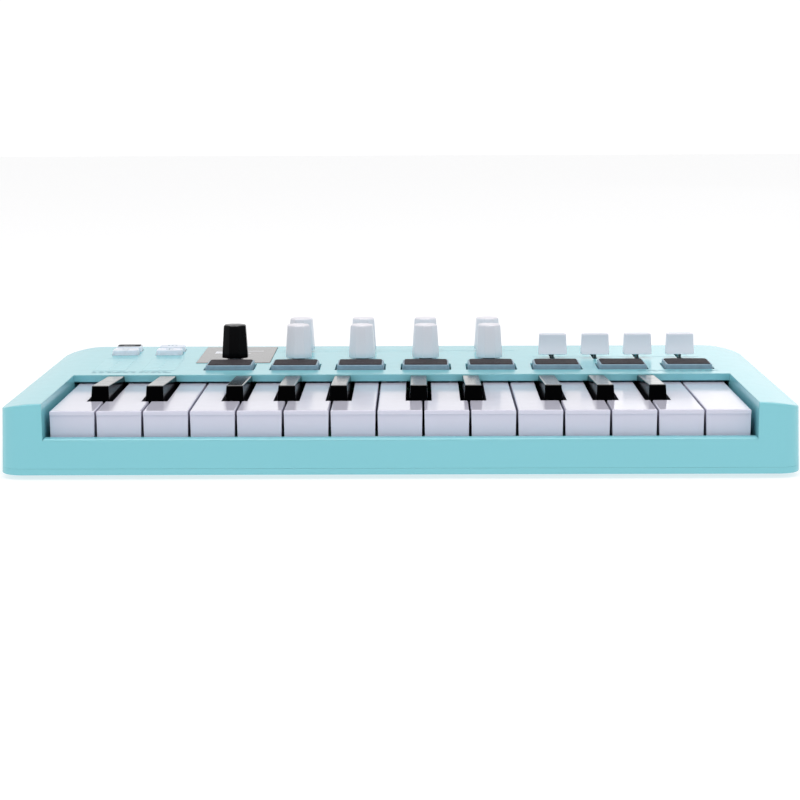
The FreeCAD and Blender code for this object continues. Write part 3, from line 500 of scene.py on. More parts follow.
class Palette:
    """Every finish of the controller, by the piece that wears it."""

    CASE = Moulding("turquoise_case", (0.215, 0.575, 0.645), 0.008, (0.21, 0.24),
                    Pattern.FINE_GRAIN, 0.000005, 0.0008, plain_below=0.011)
    TRAY = Moulding("turquoise_tray", (0.212, 0.57, 0.64), 0.008, (0.21, 0.25),
                    Pattern.FINE_GRAIN, 0.000005, 0.0002)
    WHITE_KEY = Moulding("white_key_plastic", (0.66, 0.65, 0.765), 0.01, (0.10, 0.16),
                         Pattern.POLISHED, 0.000004, 0.0003, 0.0, 0.36)
    # Painted shade: the last value turns the gloss of upright walls nearly off, so key fronts stay
    # black.
    BLACK_KEY = Moulding("black_key_plastic", (0.0008, 0.0008, 0.001), 0.1, (0.12, 0.18),
                         Pattern.POLISHED, 0.000003, 0.0003, 0.0, 1.0, 0.01)
    WHITE_KNOB = Moulding("white_knob_plastic", (0.80, 0.78, 0.84), 0.012, (0.30, 0.38),
                          Pattern.FINE_GRAIN, 0.000008, 0.0002)
    # Painted shade: the last value turns down the gloss of the knob's upright walls.
    BLACK_KNOB = Moulding("black_knob_plastic", (0.0015, 0.0015, 0.002), 0.1, (0.26, 0.34),
                          Pattern.FINE_GRAIN, 0.000008, 0.0002, 0.0, 0.5, 0.06)
    FADER_CAP = Moulding("white_cap_plastic", (0.80, 0.79, 0.865), 0.015, (0.38, 0.5),
                         Pattern.FINE_GRAIN, 0.000008, 0.0002)
    STEM = Moulding("dark_stem_plastic", (0.02, 0.035, 0.04), 0.1, (0.4, 0.5))
    PLATE = Moulding("smoked_plate", (0.03, 0.025, 0.028), 0.05, (0.10, 0.14),
                     Pattern.POLISHED, 0.000001, 0.0002, 0.0, 0.42)
    STRIP = Moulding("touch_strip_film", (0.225, 0.59, 0.66), 0.01, (0.2, 0.26),
                     Pattern.FINE_GRAIN, 0.000004, 0.0002)
    CHASSIS = Moulding("dark_chassis_plastic", (0.02, 0.02, 0.022), 0.1, (0.45, 0.6),
                       Pattern.SPARK, 0.00004)
    SOCKET = Moulding("black_socket_plastic", (0.012, 0.012, 0.013), 0.1, (0.4, 0.55),
                      Pattern.SPARK, 0.00002, 0.0002)
    CASING = Moulding("dark_component_plastic", (0.03, 0.03, 0.032), 0.1, (0.4, 0.5))
    PAD_BASE = Silicone("cloudy_pad_silicone", (0.22, 0.34, 0.43))
    BUTTON = Silicone("pale_button_silicone", (0.82, 0.86, 0.95), 0.0008)
    DOMES = Silicone("grey_dome_silicone", (0.3, 0.31, 0.33))
    PAD_TOP = Rubber("dark_pad_rubber", (0.022, 0.017, 0.022), 0.12)
    DARK_BUTTON = Rubber("dark_button_rubber", (0.02, 0.02, 0.023), 0.15)
    FOOT = Rubber("black_foot_rubber", (0.02, 0.02, 0.021))
    STEEL = Metal("turned_steel")
    TIN = Metal("tinned_can", (0.66, 0.67, 0.68), (0.25, 0.42), Vector((8, 1, 1)))
    ZINC = Metal("black_zinc", (0.16, 0.16, 0.17), (0.3, 0.45))
    GOLD = Metal("gold_contact", (0.83, 0.62, 0.28), (0.2, 0.3))
    PRINT = Ink("teal_print", (0.16, 0.42, 0.47))
    # Its colour is print, and it also paints the shade line behind each touch strip.
    SOFT_PRINT_AND_SHADE = Ink("pale_print_and_shade", (0.24, 0.52, 0.57))
    MARK = Ink("grey_mark", (0.10, 0.24, 0.29))
    DISPLAY = Glow("display_light")
    BOARD = SolderMask("green_board")
    FLOOR = Sweep("white_sweep")


# ---------------------------------------------------------------- mesh work
def rounded_rectangle(half_x: float, half_y: float, corner: float, steps: int = 6) -> list[Point]:
    """Outline of a rectangle with rounded corners, counter-clockwise.

    Args:
        half_x: half its width.
        half_y: half its depth.
        corner: radius of its corners.
        steps: points on each corner.

    Returns:
        The outline's points.
    """
    corner = max(min(corner, half_x * 0.999, half_y * 0.999), TINY / 2)
    points = []
    for turn, (sx, sy) in enumerate(((1, 1), (-1, 1), (-1, -1), (1, -1))):
        for index in range(steps):
            angle = math.pi / 2 * (turn + index / (steps - 1))
            points.append((sx * (half_x - corner) + corner * math.cos(angle),
                           sy * (half_y - corner) + corner * math.sin(angle)))
    return points


def soft_polygon(sides: int, half_flats: float, corner: float, steps: int = 5) -> list[Point]:
    """Outline of a regular polygon with a flat to the front and rounded corners.

    Args:
        sides: number of sides.
        half_flats: distance from the middle to a flat.
        corner: radius of its corners.
        steps: points on each corner.

    Returns:
        The outline's points.
    """
    half_turn = math.pi / sides
    reach = (half_flats - corner) / math.cos(half_turn)
    points = []
    for side in range(sides):
        middle = 2 * half_turn * side + half_turn
        for index in range(steps):
            angle = middle + half_turn * (2 * index / (steps - 1) - 1)
            points.append((reach * math.cos(middle) + corner * math.cos(angle),
                           reach * math.sin(middle) + corner * math.sin(angle)))
    return points


def circle(radius: float, count: int = 40) -> list[Point]:
    """Points of a circle round the origin."""
    turns = [2 * math.pi * index / count for index in range(count)]
    return [(radius * math.cos(turn), radius * math.sin(turn)) for turn in turns]


def quarter(low: float, inset: float, radius: float, steps: int = 5) -> list[Level]:
    """Levels of a rounded upper edge, as (height, inset) from the wall to the top.

    Args:
        low: height where the rounding starts.
        inset: inset of the wall there.
        radius: radius of the rounding.
        steps: number of levels.

    Returns:
        The levels, lowest first.
    """
    turns = [math.pi / 2 * (index + 1) / steps for index in range(steps)]
    return [(low + radius * math.sin(turn), inset + radius * (1 - math.cos(turn)))
            for turn in turns]


class Piece:
    """Mesh built from stacked outlines and loose solids, in the frame's own place."""

    def __init__(self, name: str) -> None:
        """Start an empty mesh.

        Args:
            name: name of the piece.
        """
        self.name = name
        self.mesh = bmesh.new()

    def skin(self, rings: Sequence[Sequence[Vector]],
             closed: tuple[bool, bool] = (True, True)) -> None:
        """Skin over rings with equal numbers of points.

        Args:
            rings: the rings, in order.
            closed: whether the first and the last ring are filled.
        """
        made = [[self.mesh.verts.new(point) for point in ring] for ring in rings]
        for low, high in zip(made, made[1:]):
            for index in range(len(low)):
                after = (index + 1) % len(low)
                self.mesh.faces.new((low[index], low[after], high[after], high[index]))
        if closed[0]:
            self.mesh.faces.new(list(reversed(made[0])))
        if closed[1]:
            self.mesh.faces.new(made[-1])

    def stack(self, plan: Plan, levels: Sequence[Level], centre: Vector,
              turn: float = 0.0) -> None:
        """Skin over one outline repeated at several heights.

        Args:
            plan: gives the outline for an inset.
            levels: (height, inset) of each ring.
            centre: middle of the piece; its z is added to the heights.
            turn: turn about the upright axis, in radians.
        """
        cos, sin = math.cos(turn), math.sin(turn)
        rings = []
        for height, inset in levels:
            rings.append([centre + Vector((x * cos - y * sin, x * sin + y * cos, height))
                          for x, y in plan(inset)])
        self.skin(rings)

    def block(self, low: Vector, high: Vector, corner: float = 0.0) -> None:
        """Add an upright block.

        Args:
            low: its lowest corner.
            high: its highest corner.
            corner: radius of its upright edges, or 0 for sharp ones.
        """
        half = (high - low) / 2
        middle = (low + high) / 2
        outline = rounded_rectangle(half.x, half.y, max(corner, TINY), 4 if corner else 2)
        self.skin([[Vector((middle.x + x, middle.y + y, z)) for x, y in outline]
                   for z in (low.z, high.z)])

    def lathe(self, profile: Sequence[tuple[float, float]], base: Vector, axis: Vector,
              count: int = 40, closed: tuple[bool, bool] = (True, True)) -> None:
        """Turned solid.

        Args:
            profile: (distance along the axis, radius) of each ring.
            base: start of the axis.
            axis: direction of the axis.
            count: points on each ring.
            closed: whether the first and the last ring are filled.
        """
        tilt = UP.rotation_difference(axis).to_matrix()
        rings = [[base + tilt @ Vector((x, y, along)) for x, y in circle(radius, count)]
                 for along, radius in profile]
        self.skin(rings, closed)

    def finish(self, finish: Finish, body: str, slot: Optional[str] = None,
               sharp: float = 38.0, replaced: Sequence[str] = ()) -> bpy.types.Object:
        """Make the object, dress it and let it ride on a body.

        Args:
            finish: what it is dressed in.
            body: CAD body that it moves with.
            slot: material slot of the record that it belongs to; not used.
            sharp: edges that turn by more than this many degrees stay sharp.
            replaced: CAD nodes that it stands for.

        Returns:
            The new object.
        """
        bmesh.ops.recalc_face_normals(self.mesh, faces=self.mesh.faces)
        data = bpy.data.meshes.new(self.name)
        self.mesh.to_mesh(data)
        self.mesh.free()
        data.shade_smooth()
        data.set_sharp_from_angle(angle=math.radians(sharp))
        made = bpy.data.objects.new(self.name, data)
        bpy.context.scene.collection.objects.link(made)
        finish.dress(made)
        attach(made, body)
        if replaced:
            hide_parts(*replaced)
        LOG.info("%s: %d faces on %s", self.name, len(data.polygons), body)
        return made


def dress_node(finish: Finish, *names: str) -> None:
    """Give CAD nodes a finish.

    Args:
        finish: what they are dressed in.
        names: the nodes.
    """
    for name in names:
        finish.dress(frame["nodes"][name])
        LOG.info("%s: wears %s", name, finish.name)


def middle_of(node: str) -> Vector:
    """Middle of a CAD node's box."""
    low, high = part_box(node)
    return (low + high) / 2


def deck_height() -> float:
    """Height of the flat part of the deck, which the glossy plate stands a little proud of."""
    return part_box("control_plate")[1].z - PLATE_PROUD


def strip_middles() -> tuple[float, float]:
    """Middle of each touch strip, left and right."""
    low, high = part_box("touch_strips")
    return low.x + STRIP_MIDDLE, high.x - STRIP_MIDDLE


# ---------------------------------------------------------------- case
@dataclass
class CaseShell:
    """Both shells of the case, what is printed on the deck and a painted shade line behind each
    touch strip.
    """

    ink: float = 0.03 * MM
    line: float = 0.35 * MM
    sill: float = 17.6 * MM
    bead: float = 0.75 * MM
    bead_half: float = 159.0 * MM
    bead_swell: float = 0.08 * MM
    scale_ticks: int = 4
    scale_pitch: float = 6.0 * MM
    mark_row: float = 5.2 * MM
    mark_spans: tuple[Point, ...] = ((-152 * MM, -115 * MM), (116 * MM, 152 * MM))
    seed: int = 7

    def bar(self, piece: Piece, x: float, y: float, wide: float, deep: float) -> None:
        """Lay one flat bar of ink on the deck, as print or as painted shade.

        Args:
            piece: mesh that takes the bar.
            x: middle of the bar across the deck.
            y: middle of the bar along the deck.
            wide: its width.
            deep: its depth.
        """
        z = deck_height()
        piece.block(Vector((x - wide / 2, y - deep / 2, z - self.ink)),
                    Vector((x + wide / 2, y + deep / 2, z + self.ink)))

    def mould_bead(self) -> None:
        """Mould the low bead with a sloping front that runs along the sill between the cheeks."""
        root, steps = 0.3 * MM, 5
        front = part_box("top_case")[0].y + root
        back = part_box("white_key_01")[0].y - 0.9 * MM
        low, top = self.sill - root, self.sill + self.bead
        profile = [(front, low)]
        for step in range(steps + 1):
            share = step / steps
            swell = self.bead_swell * math.sin(math.pi * share)
            profile.append((front + self.bead * share - swell,
                            top - self.bead * (1 - share) + swell))
        profile += [(back - root, top), (back, top - root), (back, low)]
        piece = Piece("sill_bead")
        piece.skin([[Vector((side * self.bead_half, y, z)) for y, z in profile]
                    for side in (-1, 1)])
        piece.finish(Palette.CASE, ROOT, "case_blue")

    def print_guides_and_strip_shade(self) -> None:
        """Print the fine lines that tie each group of controls together, and paint a line of shade
        behind each touch strip.
        """
        piece = Piece("deck_guides_and_strip_shade")
        first, last = middle_of("fader_cap_1"), middle_of(f"fader_cap_{FADERS}")
        low_y = first.y + 5.4 * MM
        self.bar(piece, (first.x + last.x) / 2, low_y, last.x - first.x + 22 * MM, self.line)
        for step in range(FADERS):
            x = middle_of(f"fader_cap_{step + 1}").x
            for tick in range(self.scale_ticks):
                y = first.y + (tick + 1) * self.scale_pitch + 2 * MM
                for side in (-1, 1):
                    self.bar(piece, x + side * 4.2 * MM, y, 2.2 * MM, self.line * 0.8)
        left, right = middle_of("knob_5"), middle_of(f"knob_{ENCODERS}")
        self.bar(piece, (left.x + right.x) / 2, left.y + 2 * MM,
                 right.x - left.x + 30 * MM, self.line)
        strip_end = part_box("touch_strips")[1].y
        # Painted shade: the 14 mm line just behind each strip's far end stands in for the shaded
        # far wall of the strip's recess.
        for x in strip_middles():
            self.bar(piece, x, strip_end + 1.6 * MM, 14 * MM, self.line)
            self.bar(piece, x, strip_end + 0.4 * MM, 1.2 * MM, 1.4 * MM)
        piece.finish(Palette.SOFT_PRINT_AND_SHADE, ROOT, "case_blue")

    def print_marks(self) -> None:
        """Print plain dashes where a maker would put small lettering."""
        piece = Piece("deck_marks")
        draw = random.Random(self.seed)
        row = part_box("pad_1")[0].y - self.mark_row
        for start, end in self.mark_spans:
            for side in (-1, 1):
                x = start
                while x < end:
                    wide = draw.choice((1.6, 2.4, 4.0)) * MM
                    self.bar(piece, x + wide / 2, row + side * 1.5 * MM, wide, 1.3 * MM)
                    x += wide + draw.choice((1.0, 1.4, 2.0)) * MM
        for index in range(PADS):
            spot = middle_of(f"pad_{index + 1}")
            self.bar(piece, spot.x - 9 * MM, spot.y + 14.6 * MM, 3.2 * MM, 0.5 * MM)
        for index in range(ENCODERS):
            spot = middle_of(f"knob_{index + 1}")
            self.bar(piece, spot.x, spot.y - 10.4 * MM, 4.4 * MM, 0.5 * MM)
            self.bar(piece, spot.x + 3.6 * MM, spot.y - 10.4 * MM, 1.0 * MM, 0.5 * MM)
        piece.finish(Palette.MARK, ROOT, "case_blue")

    def build(self) -> None:
        """Build and dress everything of the case."""
        dress_node(Palette.CASE, "top_case")
        dress_node(Palette.TRAY, "bottom_case")
        self.mould_bead()
        self.print_guides_and_strip_shade()
        self.print_marks()


# ---------------------------------------------------------------- keys
@dataclass
class KeyBed:
    """Keys and the frame that they hook onto."""

    whites: int = 15
    blacks: int = 10

    def build(self) -> None:
        """Dress every key and the frame."""
        dress_node(Palette.WHITE_KEY, *[f"white_key_{n + 1:02d}" for n in range(self.whites)])
        dress_node(Palette.BLACK_KEY, *[f"black_key_{n + 1:02d}" for n in range(self.blacks)])
        dress_node(Palette.CHASSIS, "key_frame")


# ---------------------------------------------------------------- pads
@dataclass
class DrumPads:
    """Eight pads, each a cloudy base with a dark rubber top set into it."""

    side: float = 24.0 * MM
    corner: float = 2.2 * MM
    rim: float = 1.35 * MM
    lean: float = 0.6 * MM
    round_top: float = 0.55 * MM
    recess: float = 0.25 * MM
    neck: float = 4.2 * MM
    crown: float = 0.12 * MM

    def outline(self, inset: float) -> list[Point]:
        """Outline of a pad, brought in by an inset."""
        half = self.side / 2 - inset
        return rounded_rectangle(half, half, max(self.corner - inset * 0.6, 0.05 * MM))

    def base_levels(self, low: float, top: float) -> list[Level]:
        """Levels of a base: straight neck, leaning wall, rounded rim, shallow tray.

        Args:
            low: height of its underside.
            top: height of its rim.

        Returns:
            (height, inset) of each ring.
        """
        shoulder = top - self.neck
        wall = top - self.round_top
        levels = [(low, 0.0), (shoulder, 0.0), (shoulder + 0.4 * MM, 0.05 * MM)]
        levels += [(wall, self.lean)] + quarter(wall, self.lean, self.round_top)
        inner = self.rim + 0.02 * MM
        levels += [(top, inner), (top - self.recess, inner + 0.04 * MM)]
        return levels

    def top_levels(self, top: float) -> list[Level]:
        """Levels of a dark top, which crowns slightly towards its middle.

        Args:
            top: height of the base's rim.

        Returns:
            (height, inset) of each ring.
        """
        inset = self.rim + 0.12 * MM
        lift = top + 0.05 * MM
        edge = 0.25 * MM
        levels = [(top - self.recess, inset), (lift, inset)]
        levels += quarter(lift, inset, edge, 4)
        for share in (0.25, 0.5, 0.75, 0.97):
            reach = inset + edge + share * (self.side / 2 - inset - 0.3 * MM)
            levels.append((lift + edge + self.crown * math.sin(share * math.pi / 2), reach))
        return levels

    def build(self) -> None:
        """Build all eight pads."""
        for index in range(PADS):
            node = f"pad_{index + 1}"
            low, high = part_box(node)
            spot = middle_of(node)
            centre = Vector((spot.x, spot.y, 0))
            base = Piece(f"{node}_base")
            base.stack(self.outline, self.base_levels(low.z + 4 * MM, high.z), centre)
            base.finish(Palette.PAD_BASE, node, "pad_rubber", replaced=[node])
            top = Piece(f"{node}_top")
            top.stack(self.outline, self.top_levels(high.z), centre)
            top.finish(Palette.PAD_TOP, node, "pad_rubber", replaced=[node])


# ---------------------------------------------------------------- encoders
@dataclass
class EncoderKnobs:
    """Soft octagonal caps, hollow below, on turned shafts."""

    sides: int = 8
    flats: float = 13.1 * MM
    lean: float = 0.99 * MM
    corner: float = 0.4 * MM
    round_top: float = 1.0 * MM
    wall: float = 1.3 * MM
    hollow: float = 2.6 * MM
    swell: float = 0.2 * MM
    turns: tuple[float, ...] = (7, -6, 12, 3, -9, 4, -3, 9)

    def outline(self, inset: float) -> list[Point]:
        """Outline of a cap, brought in by an inset."""
        half = max(self.flats / 2 - inset, 0.02 * MM)
        return soft_polygon(self.sides, half, min(self.corner, half * 0.5))

    def levels(self, tall: float) -> list[Level]:
        """Levels of a cap from the roof of its hollow, round the skirt and up to the crown.

        Args:
            tall: height of the cap.

        Returns:
            (height, inset) of each ring.
        """
        lip = 0.25 * MM
        inside = [(self.hollow, self.wall + 0.1 * MM), (lip, self.wall)]
        outside = [(0.0, self.wall - lip), (0.0, lip), (lip, lip * 0.2)]
        steps = 6
        wall_top = tall - self.round_top
        for step in range(1, steps + 1):
            share = step / steps
            outside.append((lip + (wall_top - lip) * share, self.lean * share))
        crown = quarter(wall_top, self.lean, self.round_top, 6)
        edge_height, edge_inset = crown[-1]
        for share in (0.2, 0.45, 0.7, 0.9, 0.98):
            reach = edge_inset + share * (self.flats / 2 - edge_inset)
            crown.append((edge_height + self.swell * math.sin(share * math.pi / 2), reach))
        return inside + outside + crown

    def cap(self, node: str, turn: float, finish: Finish, slot: str) -> None:
        """Build one cap in the place of its CAD node.

        Args:
            node: the CAD node, which is also the body it rides on.
            turn: its turn in degrees.
            finish: what it is dressed in.
            slot: material slot of the record.
        """
        low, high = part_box(node)
        spot = middle_of(node)
        centre = Vector((spot.x, spot.y, low.z))
        tall = high.z - low.z - 0.25 * MM
        piece = Piece(f"{node}_cap")
        piece.stack(self.outline, self.levels(tall), centre, math.radians(turn))
        piece.finish(finish, node, slot, sharp=60.0, replaced=[node])

    def build(self) -> None:
        """Build the black main cap and the eight white ones."""
        self.cap("main_knob", 0, Palette.BLACK_KNOB, "knob_black")
        for index, turn in enumerate(self.turns):
            self.cap(f"knob_{index + 1}", turn, Palette.WHITE_KNOB, "knob_white")
        dress_node(Palette.STEEL, "main_encoder_shaft")


# ---------------------------------------------------------------- faders
@dataclass
class FaderBank:
    """Four thin fader caps with a waisted front and back and a fine line on top."""

    wide: float = 14.5 * MM
    crest: float = 13.6 * MM
    deep: float = 6.2 * MM
    crest_deep: float = 4.6 * MM
    waist: float = 0.45 * MM
    corner: float = 0.8 * MM
    low: float = 36.4 * MM
    line: Vector = field(default_factory=lambda: Vector((5.6, 0.3, 0.09)) * MM)
    stem: Vector = field(default_factory=lambda: Vector((0.6, 2.0, 0.6)) * MM)

    def rings(self, centre: Vector, top: float) -> list[list[Vector]]:
        """Rings of a cap from its underside to its crest.

        Args:
            centre: middle of the cap.
            top: height of its crest.

        Returns:
            The rings.
        """
        steps, edge = 12, 0.5 * MM
        found = []
        for step in range(steps + 1):
            share = step / steps
            half_x = (self.wide + (self.crest - self.wide) * share) / 2
            half_y = (self.deep + (self.crest_deep - self.deep) * share) / 2
            half_y -= self.waist * math.sin(math.pi * share)
            height = self.low + (top - edge - self.low) * share
            if step == 0:
                for drop, inset in ((0.0, 0.3 * MM), (0.15 * MM, 0.08 * MM)):
                    found.append((height + drop, half_x - inset, half_y - inset))
                continue
            found.append((height, half_x, half_y))
        for lift, inset in quarter(0.0, 0.0, edge):
            found.append((height + lift, half_x - inset, half_y - inset))
        height, half_x, half_y = found[-1]
        found.append((height + 0.05 * MM, half_x - 1.0 * MM, half_y * 0.5))
        found.append((height + 0.06 * MM, half_x - 1.6 * MM, half_y * 0.1))
        return [[Vector((centre.x + x, centre.y + y, height))
                 for x, y in rounded_rectangle(half_x, half_y, self.corner)]
                for height, half_x, half_y in found]

    def build(self) -> None:
        """Build every cap, its top line and its stem."""
        for index in range(FADERS):
            node = f"fader_cap_{index + 1}"
            low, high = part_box(node)
            centre = middle_of(node)
            cap = Piece(f"{node}_grip")
            cap.skin(self.rings(centre, high.z))
            cap.finish(Palette.FADER_CAP, node, "cap_white", sharp=60.0, replaced=[node])
            line = Piece(f"{node}_line")
            line.block(Vector((centre.x - self.line.x, centre.y - self.line.y, high.z)),
                       Vector((centre.x + self.line.x, centre.y + self.line.y,
                               high.z + self.line.z)), 0.25 * MM)
            line.finish(Palette.PRINT, node, "cap_white", replaced=[node])
            stem = Piece(f"{node}_stem")
            stem.block(Vector((centre.x - self.stem.x, centre.y - self.stem.y, low.z)),
                       Vector((centre.x + self.stem.x, centre.y + self.stem.y,
                               self.low + self.stem.z)), 0.3 * MM)
            stem.finish(Palette.STEM, node, "cap_white", replaced=[node])


# ---------------------------------------------------------------- buttons
class Sign(Enum):
    """Plain signs moulded on the buttons."""

    MINUS = "minus"
    PLUS = "plus"
    BAR = "bar"
    DOTS = "dots"


@dataclass
class ButtonPanel:
    """Four rubber buttons with plain signs."""

    half_x: float = 6.7 * MM
    half_y: float = 5.0 * MM
    corner: float = 1.5 * MM
    lean: float = 0.25 * MM
    round_top: float = 0.6 * MM

    def sign(self, piece: Piece, kind: Sign, spot: Vector) -> None:
        """Lay a sign on a button.

        Args:
            piece: mesh that takes the sign.
            kind: which sign.
            spot: middle of the button's top.
        """
        bars = {Sign.MINUS: [(0, 0, 3.6, 0.6)], Sign.PLUS: [(0, 0, 3.6, 0.6), (0, 0, 0.6, 3.6)],
                Sign.BAR: [(0, -1.6, 6.0, 0.5)],
                Sign.DOTS: [(x, 0, 0.8, 0.8) for x in (-2, 0, 2)]}
        for x, y, wide, deep in bars[kind]:
            half = Vector((wide / 2 * MM, deep / 2 * MM, 0.04 * MM))
            middle = spot + Vector((x * MM, y * MM, 0.02 * MM))
            piece.block(middle - half, middle + half, 0.15 * MM)

    def outline(self, inset: float) -> list[Point]:
        """Outline of a button, brought in by an inset."""
        return rounded_rectangle(self.half_x - inset, self.half_y - inset,
                                 max(self.corner - inset * 0.5, 0.05 * MM))

    def cap(self, node: str) -> Vector:
        """Build one pale button.

        Args:
            node: CAD node that it stands for.

        Returns:
            Middle of its top.
        """
        low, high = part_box(node)
        spot = middle_of(node)
        wall = high.z - self.round_top
        levels = [(low.z + 4 * MM, 0.0), (wall - 1.8 * MM, 0.0), (wall, self.lean)]
        levels += quarter(wall, self.lean, self.round_top)
        for share in (0.3, 0.6, 0.95):
            reach = self.lean + self.round_top + share * (self.half_y - 1.0 * MM)
            levels.append((high.z - 0.1 * MM * math.sin(share * math.pi / 2), reach))
        button = Piece(f"{node}_cap")
        button.stack(self.outline, levels, Vector((spot.x, spot.y, 0)))
        button.finish(Palette.BUTTON, node, "button_rubber", replaced=[node])
        return Vector((spot.x, spot.y, high.z))

    def build(self) -> None:
        """Build every button; the one with a bar also has a dark top."""
        for index, kind in enumerate((Sign.MINUS, Sign.PLUS, Sign.BAR, Sign.DOTS)):
            node = f"button_{index + 1}"
            top = self.cap(node)
            dark = kind is Sign.BAR
            if dark:
                inlay = Piece(f"{node}_inlay")
                inlay.stack(self.outline, [(-0.3 * MM, 0.75 * MM), (0.04 * MM, 0.75 * MM),
                                           (0.1 * MM, 0.85 * MM), (0.12 * MM, 2.5 * MM)], top)
                inlay.finish(Palette.DARK_BUTTON, node, "button_rubber", replaced=[node])
            sign = Piece(f"{node}_sign")
            self.sign(sign, kind, top + Vector((0, 0, (0.1 if dark else -0.1) * MM)))
            sign.finish(Palette.BUTTON if dark else Palette.MARK, node, "button_rubber",
                        replaced=[node])


# ---------------------------------------------------------------- display and strips
@dataclass
class DisplayPlate:
    """Smoked plate with the picture elements that shine through it, and the touch strips."""

    wide: float = 24.8 * MM
    film: float = 16.0 * MM
    element: float = 0.03 * MM

    def build(self) -> None:
        """Build the lit picture and dress the plate and strips."""
        dress_node(Palette.PLATE, "control_plate")
        dress_node(Palette.STRIP, "touch_strips")
        low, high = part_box("control_plate")
        x, z = (low.x + high.x) / 2, high.z
        picture = Piece("display_picture")
        rows = [(0.0, 1.0, 0.5)]
        rows += [(-3.2 - 2.1 * step, 0.32 + 0.14 * step, 0.9) for step in range(4)]
        for drop, share, deep in rows:
            y = high.y - 19 * MM + drop * MM
            left = x - self.wide / 2
            picture.block(Vector((left, y, z - self.element)),
                          Vector((left + self.wide * share, y + deep * MM, z + self.element)),
                          0.1 * MM)
        picture.finish(Palette.DISPLAY, ROOT, "plate_gloss")
        marks, films = Piece("strip_marks"), Piece("strip_films")
        low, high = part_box("touch_strips")
        deck = deck_height()
        for middle in strip_middles():
            films.block(Vector((middle - self.film / 2, low.y - 0.5 * MM, deck + 0.005 * MM)),
                        Vector((middle + self.film / 2, high.y + 0.5 * MM, deck + 0.05 * MM)),
                        0.8 * MM)
            for step in range(5):
                y = low.y + (high.y - low.y) * (0.14 + 0.18 * step)
                marks.block(Vector((middle - 0.5 * MM, y - 0.5 * MM, deck)),
                            Vector((middle + 0.5 * MM, y + 0.5 * MM, deck + 0.08 * MM)), 0.3 * MM)
        films.finish(Palette.STRIP, ROOT, "strip_touch")
        marks.finish(Palette.SOFT_PRINT_AND_SHADE, ROOT, "strip_touch")


# ---------------------------------------------------------------- boards
@dataclass
class Electronics:
    """Boards and soldered parts inside, and the sockets at the back."""

    bush: float = 3.5 * MM
    shaft: float = 3.0 * MM
    can: float = 6.0 * MM
    body_tall: float = 6.1 * MM
    thick: float = 1.6 * MM

    def encoder(self, cans: Piece, shafts: Piece, node: str, board: float,
                with_shaft: bool) -> None:
        """Build one encoder's can, bush and shaft under its knob.

        Args:
            cans: mesh that takes the can and the bush.
            shafts: mesh that takes the shaft.
            node: CAD node of the knob above it.
            board: height of the board's upper face.
            with_shaft: whether the shaft belongs to the body.
        """
        low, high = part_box(node)
        spot = middle_of(node)
        base = Vector((spot.x, spot.y, 0))
        cans.block(base + Vector((-self.can, -self.can, board)),
                   base + Vector((self.can, self.can, board + self.body_tall)), 0.6 * MM)
        top, bore = low.z - 0.5 * MM, self.shaft + 0.1 * MM
        cans.lathe([(board + 6 * MM, self.bush), (top - 0.4 * MM, self.bush),
                    (top, self.bush - 0.3 * MM), (top, bore), (board + 7 * MM, bore)], base, UP)
        if with_shaft:
            shafts.lathe([(board + 6.5 * MM, self.shaft), (high.z - 3.8 * MM, self.shaft),
                          (high.z - 3.4 * MM, self.shaft - 0.4 * MM)], base, UP)

    def build_boards(self) -> None:
        """Build the control board with its parts and the key contact board."""
        low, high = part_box("circuit_boards")
        board_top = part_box("pad_1")[0].z - 0.9 * MM
        control = Piece("control_board")
        control.block(Vector((low.x, 4 * MM, board_top - self.thick)),
                      Vector((high.x, high.y, board_top)), 1.5 * MM)
        control.finish(Palette.BOARD, ROOT, "board_green", replaced=["circuit_boards"])
        contact = Piece("key_contact_board")
        contact.block(Vector((low.x + 1 * MM, low.y, low.z)),
                      Vector((high.x - 1 * MM, low.y + 30 * MM, low.z + self.thick)), 1 * MM)
        contact.finish(Palette.BOARD, ROOT, "board_green", replaced=["circuit_boards"])
        domes = Piece("key_contact_domes")
        dome = [(0, 3.2 * MM), (1.2 * MM, 3.1 * MM), (3.2 * MM, 2.3 * MM), (3.8 * MM, 2.0 * MM)]
        for name in sorted(frame["nodes"]):
            if "_key_" in name:
                spot = Vector((middle_of(name).x, low.y + 15 * MM, low.z + self.thick))
                domes.lathe(dome, spot, UP, 24)
        domes.finish(Palette.DOMES, ROOT, "board_green", replaced=["circuit_boards"])
        cans, shafts = Piece("encoder_cans"), Piece("encoder_shafts")
        self.encoder(cans, shafts, "main_knob", board_top, False)
        for index in range(ENCODERS):
            self.encoder(cans, shafts, f"knob_{index + 1}", board_top, True)
        cans.finish(Palette.ZINC, ROOT, "board_green", replaced=["circuit_boards"])
        shafts.finish(Palette.ZINC, ROOT, "board_green", replaced=["circuit_boards"])
        faders = Piece("slide_potentiometers")
        for index in range(FADERS):
            spot = middle_of(f"fader_cap_{index + 1}")
            front, end = spot.y - 8 * MM, spot.y + 38 * MM
            for side in (-1, 1):
                x = spot.x + side * 2.85 * MM
                faders.block(Vector((x - 1.65 * MM, front, board_top)),
                             Vector((x + 1.65 * MM, end, board_top + self.body_tall)), 0.2 * MM)
            faders.block(Vector((spot.x - 1.2 * MM, front, board_top)),
                         Vector((spot.x + 1.2 * MM, end, board_top + 0.8 * MM)))
        faders.finish(Palette.CASING, ROOT, "board_green", replaced=["circuit_boards"])
        plate_low, plate_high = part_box("control_plate")
        display = Piece("display_module")
        margin = 6.2 * MM
        display.block(Vector((plate_low.x + margin, plate_low.y + 35.3 * MM, board_top)),
                      Vector((plate_high.x - margin, plate_high.y - 5.5 * MM,
                              plate_low.z - 0.02 * MM)), 0.4 * MM)
        display.finish(Palette.CASING, ROOT, "board_green", replaced=["circuit_boards"])

    def build(self) -> None:
        """Build and dress everything electrical."""
        self.build_boards()
        dress_node(Palette.SOCKET, "rear_sockets")


